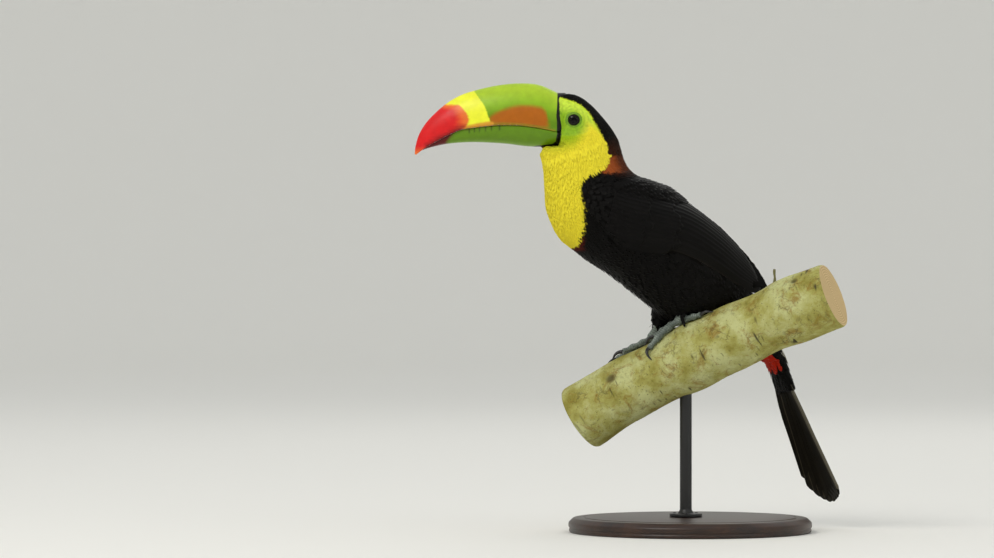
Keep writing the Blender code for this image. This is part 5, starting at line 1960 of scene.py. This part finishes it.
def paint_material(stand):
    """Steel under satin black powder paint, with the faint orange peel of the spray."""
    made, tree, shader = new_material("satin_painted_steel", 0.38, 0.5, Base_Color=stand.paint)
    place = node(tree, "TexCoord", out="Object")
    peel = node(tree, "TexNoise", {"Vector": place, "Scale": 900.0, "Detail": 1.0})
    relief = node(tree, "Bump", {"Height": peel, "Strength": 0.12, "Distance": 0.0003})
    rough = node(tree, "MapRange", (peel, 0.0, 1.0, 0.32, 0.46))
    feed(shader, {"Roughness": rough, "Normal": relief})
    return made


def make_stand(scene):
    stand = scene.toucan_stand
    low, high = node_box("stand_base")
    radius, top = (high[0] - low[0]) / 2, high[2]
    # A bead on the rim over a cove, and a groove round the top: how far in from the rim and down from the top
    steps = (
        (0.0155, 0), (0.0148, 0.0010), (0.0135, 0.0010), (0.0128, 0.0002), (0.0045, 0.0006), (0.0002, 0.0046),
        (0, 0.0085), (0.0012, 0.0100), (0.0004, 0.0115), (0.0008, top - 0.0008), (0.002, top),
    )
    profile = [(0.004, top), *((radius - inward, top - down) for inward, down in steps), (0.004, 0.0)]
    base = lathe("stand_base_wood", rounded(profile, 0.0012), 160)
    set_points(base, mesh_points(base) + (low + high) / 2 * [1, 1, 0])
    add_piece(base, [wood_material(stand)], ("stand_base",))

    low, high = node_box("stand_rod")
    flange = top + 0.0003
    face = flange + FLANGE_THICKNESS
    profile = (
        (0.002, high[2]), (ROD_RADIUS, high[2]), (ROD_RADIUS, face + 0.0035), (ROD_RADIUS + 0.0022, face),
        (FLANGE_RADIUS, face), (FLANGE_RADIUS, flange), (ROD_RADIUS, flange), (ROD_RADIUS, low[2]),
        (0.002, low[2]),
    )
    meshes = [lathe("rod", rounded(profile, 0.0008), 72)]
    # Countersunk screws hold the flange
    head = ((0.0002, 0.0009), (0.0011, 0.0008), (0.0021, 0), (0.0021, -0.001), (0.0002, -0.001))
    out = (FLANGE_RADIUS + ROD_RADIUS + 0.0022) / 2
    for k in range(SCREWS):
        angle = math.radians(30) + k * 2 * math.pi / SCREWS
        screw = lathe("screw", [(r, face + z) for r, z in head], 20)
        set_points(screw, mesh_points(screw) + [out * math.cos(angle), out * math.sin(angle), 0])
        meshes.append(screw)
    rod = joined("stand_rod_steel", *meshes)
    set_points(rod, mesh_points(rod) + (low + high) / 2 * [1, 1, 0])
    rod.shade_smooth()
    rod.set_sharp_from_angle(angle=math.radians(50))
    add_piece(rod, [paint_material(stand)], ("stand_rod",))


# ---------------------------------------------------------------- stage

CAMERA_PLACE = (-0.1776, -4.0, 0.2328)
CLIP_END = 60.0
# The floor is flat out to a radius, curves up through a quarter turn and goes on upward
FLOOR_FLAT_RADIUS, FLOOR_CURVE_RADIUS, FLOOR_TOP = 7.5, 4.0, 9.0
FLOOR_STEPS = 96
LIGHT_TARGET = Vector((-0.02, 0.0, 0.25))


def add_area_light(name, place, size, power, colour):
    light = bpy.data.lights.new(name, "AREA")
    light.shape = "DISK"
    light.size = size
    light.energy = power
    light.color = colour
    lamp = add_object(name, light)
    lamp.location = place
    lamp.rotation_euler = (LIGHT_TARGET - Vector(place)).to_track_quat("-Z", "Y").to_euler()
    lamp.visible_camera = False


def make_stage(scene):
    stage = scene.toucan_stage
    profile = [(r, 0.0) for r in (0.0001, 0.5, 1.5, 3.0, 5.0, FLOOR_FLAT_RADIUS)]
    for bend in np.arange(1, 17) / 16 * math.pi / 2:
        out, up = FLOOR_CURVE_RADIUS * math.sin(bend), FLOOR_CURVE_RADIUS * (1 - math.cos(bend))
        profile.append((FLOOR_FLAT_RADIUS + out, up))
    profile.append((FLOOR_FLAT_RADIUS + FLOOR_CURVE_RADIUS, FLOOR_TOP))
    rings = lathe_rings(profile, FLOOR_STEPS)
    mesh = build_mesh("floor", rings.reshape(-1, 3), grid_faces(len(profile), FLOOR_STEPS, True)[:, ::-1])
    # Matt painted board
    board, _, _ = new_material("matt_painted_board", 0.9, 0.1, Base_Color=stage.floor)
    mesh.materials.append(board)
    floor = add_object("floor", mesh)

    lens = bpy.data.cameras.new("camera")
    lens.lens = stage.lens
    lens.sensor_width = 36
    lens.clip_end = CLIP_END
    camera = add_object("camera", lens)
    camera.location = CAMERA_PLACE
    camera.rotation_euler = (math.radians(90), 0, 0)
    scene.camera = camera

    add_area_light("key_light", (-1.6, -2.2, 2.6), 1.6, stage.key, (1.0, 0.97, 0.92))
    add_area_light("fill_light", (2.6, -2.0, 1.3), 2.2, stage.fill, (0.92, 0.96, 1.0))
    add_area_light("rim_light", (0.8, 2.6, 2.4), 1.8, stage.rim, (1.0, 0.98, 0.95))
    world = bpy.data.worlds.new("soft_sky")
    world.use_nodes = True
    feed(world.node_tree.nodes["Background"], {"Color": linear("#F4F6F8"), "Strength": stage.sky})
    scene.world = world
    scene.view_settings.view_transform = "Standard"


# ---------------------------------------------------------------- add-on


class TOUCAN_OT_stage(bpy.types.Operator):
    """Adds the pale floor, the soft lights and the camera"""

    bl_idname = "toucan.make_stage"
    bl_label = "Stage"

    def execute(self, context):
        make_stage(context.scene)
        return {"FINISHED"}


class TOUCAN_OT_skin(bpy.types.Operator):
    """Grows one skin through head, neck, trunk, thighs, wings and tail's root, with lids round the eyes"""

    bl_idname = "toucan.make_skin"
    bl_label = "Skin"

    def execute(self, context):
        make_skin(context.scene)
        return {"FINISHED"}


class TOUCAN_OT_coat(bpy.types.Operator):
    """Lays the small feathers over the skin"""

    bl_idname = "toucan.make_coat"
    bl_label = "Small feathers"

    def execute(self, context):
        if "skin" not in bpy.data.objects:
            raise RuntimeError("make the skin before its feathers")
        make_coat(context.scene)
        return {"FINISHED"}


class TOUCAN_OT_wings(bpy.types.Operator):
    """Lays the large feathers of both folded wings"""

    bl_idname = "toucan.make_wings"
    bl_label = "Wing quills"

    def execute(self, context):
        make_wings(context.scene)
        return {"FINISHED"}


class TOUCAN_OT_tail(bpy.types.Operator):
    """Makes the ten tail feathers"""

    bl_idname = "toucan.make_tail"
    bl_label = "Tail quills"

    def execute(self, context):
        make_tail(context.scene)
        return {"FINISHED"}


class TOUCAN_OT_bill(bpy.types.Operator):
    """Makes both mandibles"""

    bl_idname = "toucan.make_bill"
    bl_label = "Bill"

    def execute(self, context):
        make_bill(context.scene)
        return {"FINISHED"}


class TOUCAN_OT_eyes(bpy.types.Operator):
    """Makes both eyeballs"""

    bl_idname = "toucan.make_eyes"
    bl_label = "Eyes"

    def execute(self, context):
        make_eyes(context.scene)
        return {"FINISHED"}


class TOUCAN_OT_feet(bpy.types.Operator):
    """Makes both feet and their claws"""

    bl_idname = "toucan.make_feet"
    bl_label = "Feet"

    def execute(self, context):
        make_feet(context.scene)
        return {"FINISHED"}


class TOUCAN_OT_perch(bpy.types.Operator):
    """Makes the cut branch"""

    bl_idname = "toucan.make_perch"
    bl_label = "Branch"

    def execute(self, context):
        make_perch(context.scene)
        return {"FINISHED"}


class TOUCAN_OT_stand(bpy.types.Operator):
    """Makes the base and the rod"""

    bl_idname = "toucan.make_stand"
    bl_label = "Stand"

    def execute(self, context):
        make_stand(context.scene)
        return {"FINISHED"}


OPERATORS = (
    TOUCAN_OT_stage,
    TOUCAN_OT_skin,
    TOUCAN_OT_coat,
    TOUCAN_OT_wings,
    TOUCAN_OT_tail,
    TOUCAN_OT_bill,
    TOUCAN_OT_eyes,
    TOUCAN_OT_feet,
    TOUCAN_OT_perch,
    TOUCAN_OT_stand,
)


class TOUCAN_PT_panel(bpy.types.Panel):
    """Lists the pieces and their settings"""

    bl_idname = "TOUCAN_PT_panel"
    bl_label = "Toucan"
    bl_space_type = "VIEW_3D"
    bl_region_type = "UI"
    bl_category = "Toucan"

    def draw(self, context):
        for operator in OPERATORS:
            self.layout.operator(operator.bl_idname)
        for name, group in GROUPS.items():
            box = self.layout.box()
            box.label(text=name.replace("toucan_", "").title())
            settings = getattr(context.scene, name)
            for key in group.__annotations__:
                box.prop(settings, key)


def register():
    for group in GROUPS.values():
        bpy.utils.register_class(group)
    for name, group in GROUPS.items():
        setattr(bpy.types.Scene, name, PointerProperty(type=group))
    for operator in OPERATORS:
        bpy.utils.register_class(operator)
    bpy.utils.register_class(TOUCAN_PT_panel)


def unregister():
    bpy.utils.unregister_class(TOUCAN_PT_panel)
    for operator in reversed(OPERATORS):
        bpy.utils.unregister_class(operator)
    for name in GROUPS:
        delattr(bpy.types.Scene, name)
    for group in reversed(tuple(GROUPS.values())):
        bpy.utils.unregister_class(group)


def main():
    register()
    for operator in OPERATORS:
        group, name = operator.bl_idname.split(".")
        getattr(getattr(bpy.ops, group), name)()


if __name__ == "__main__":
    main()
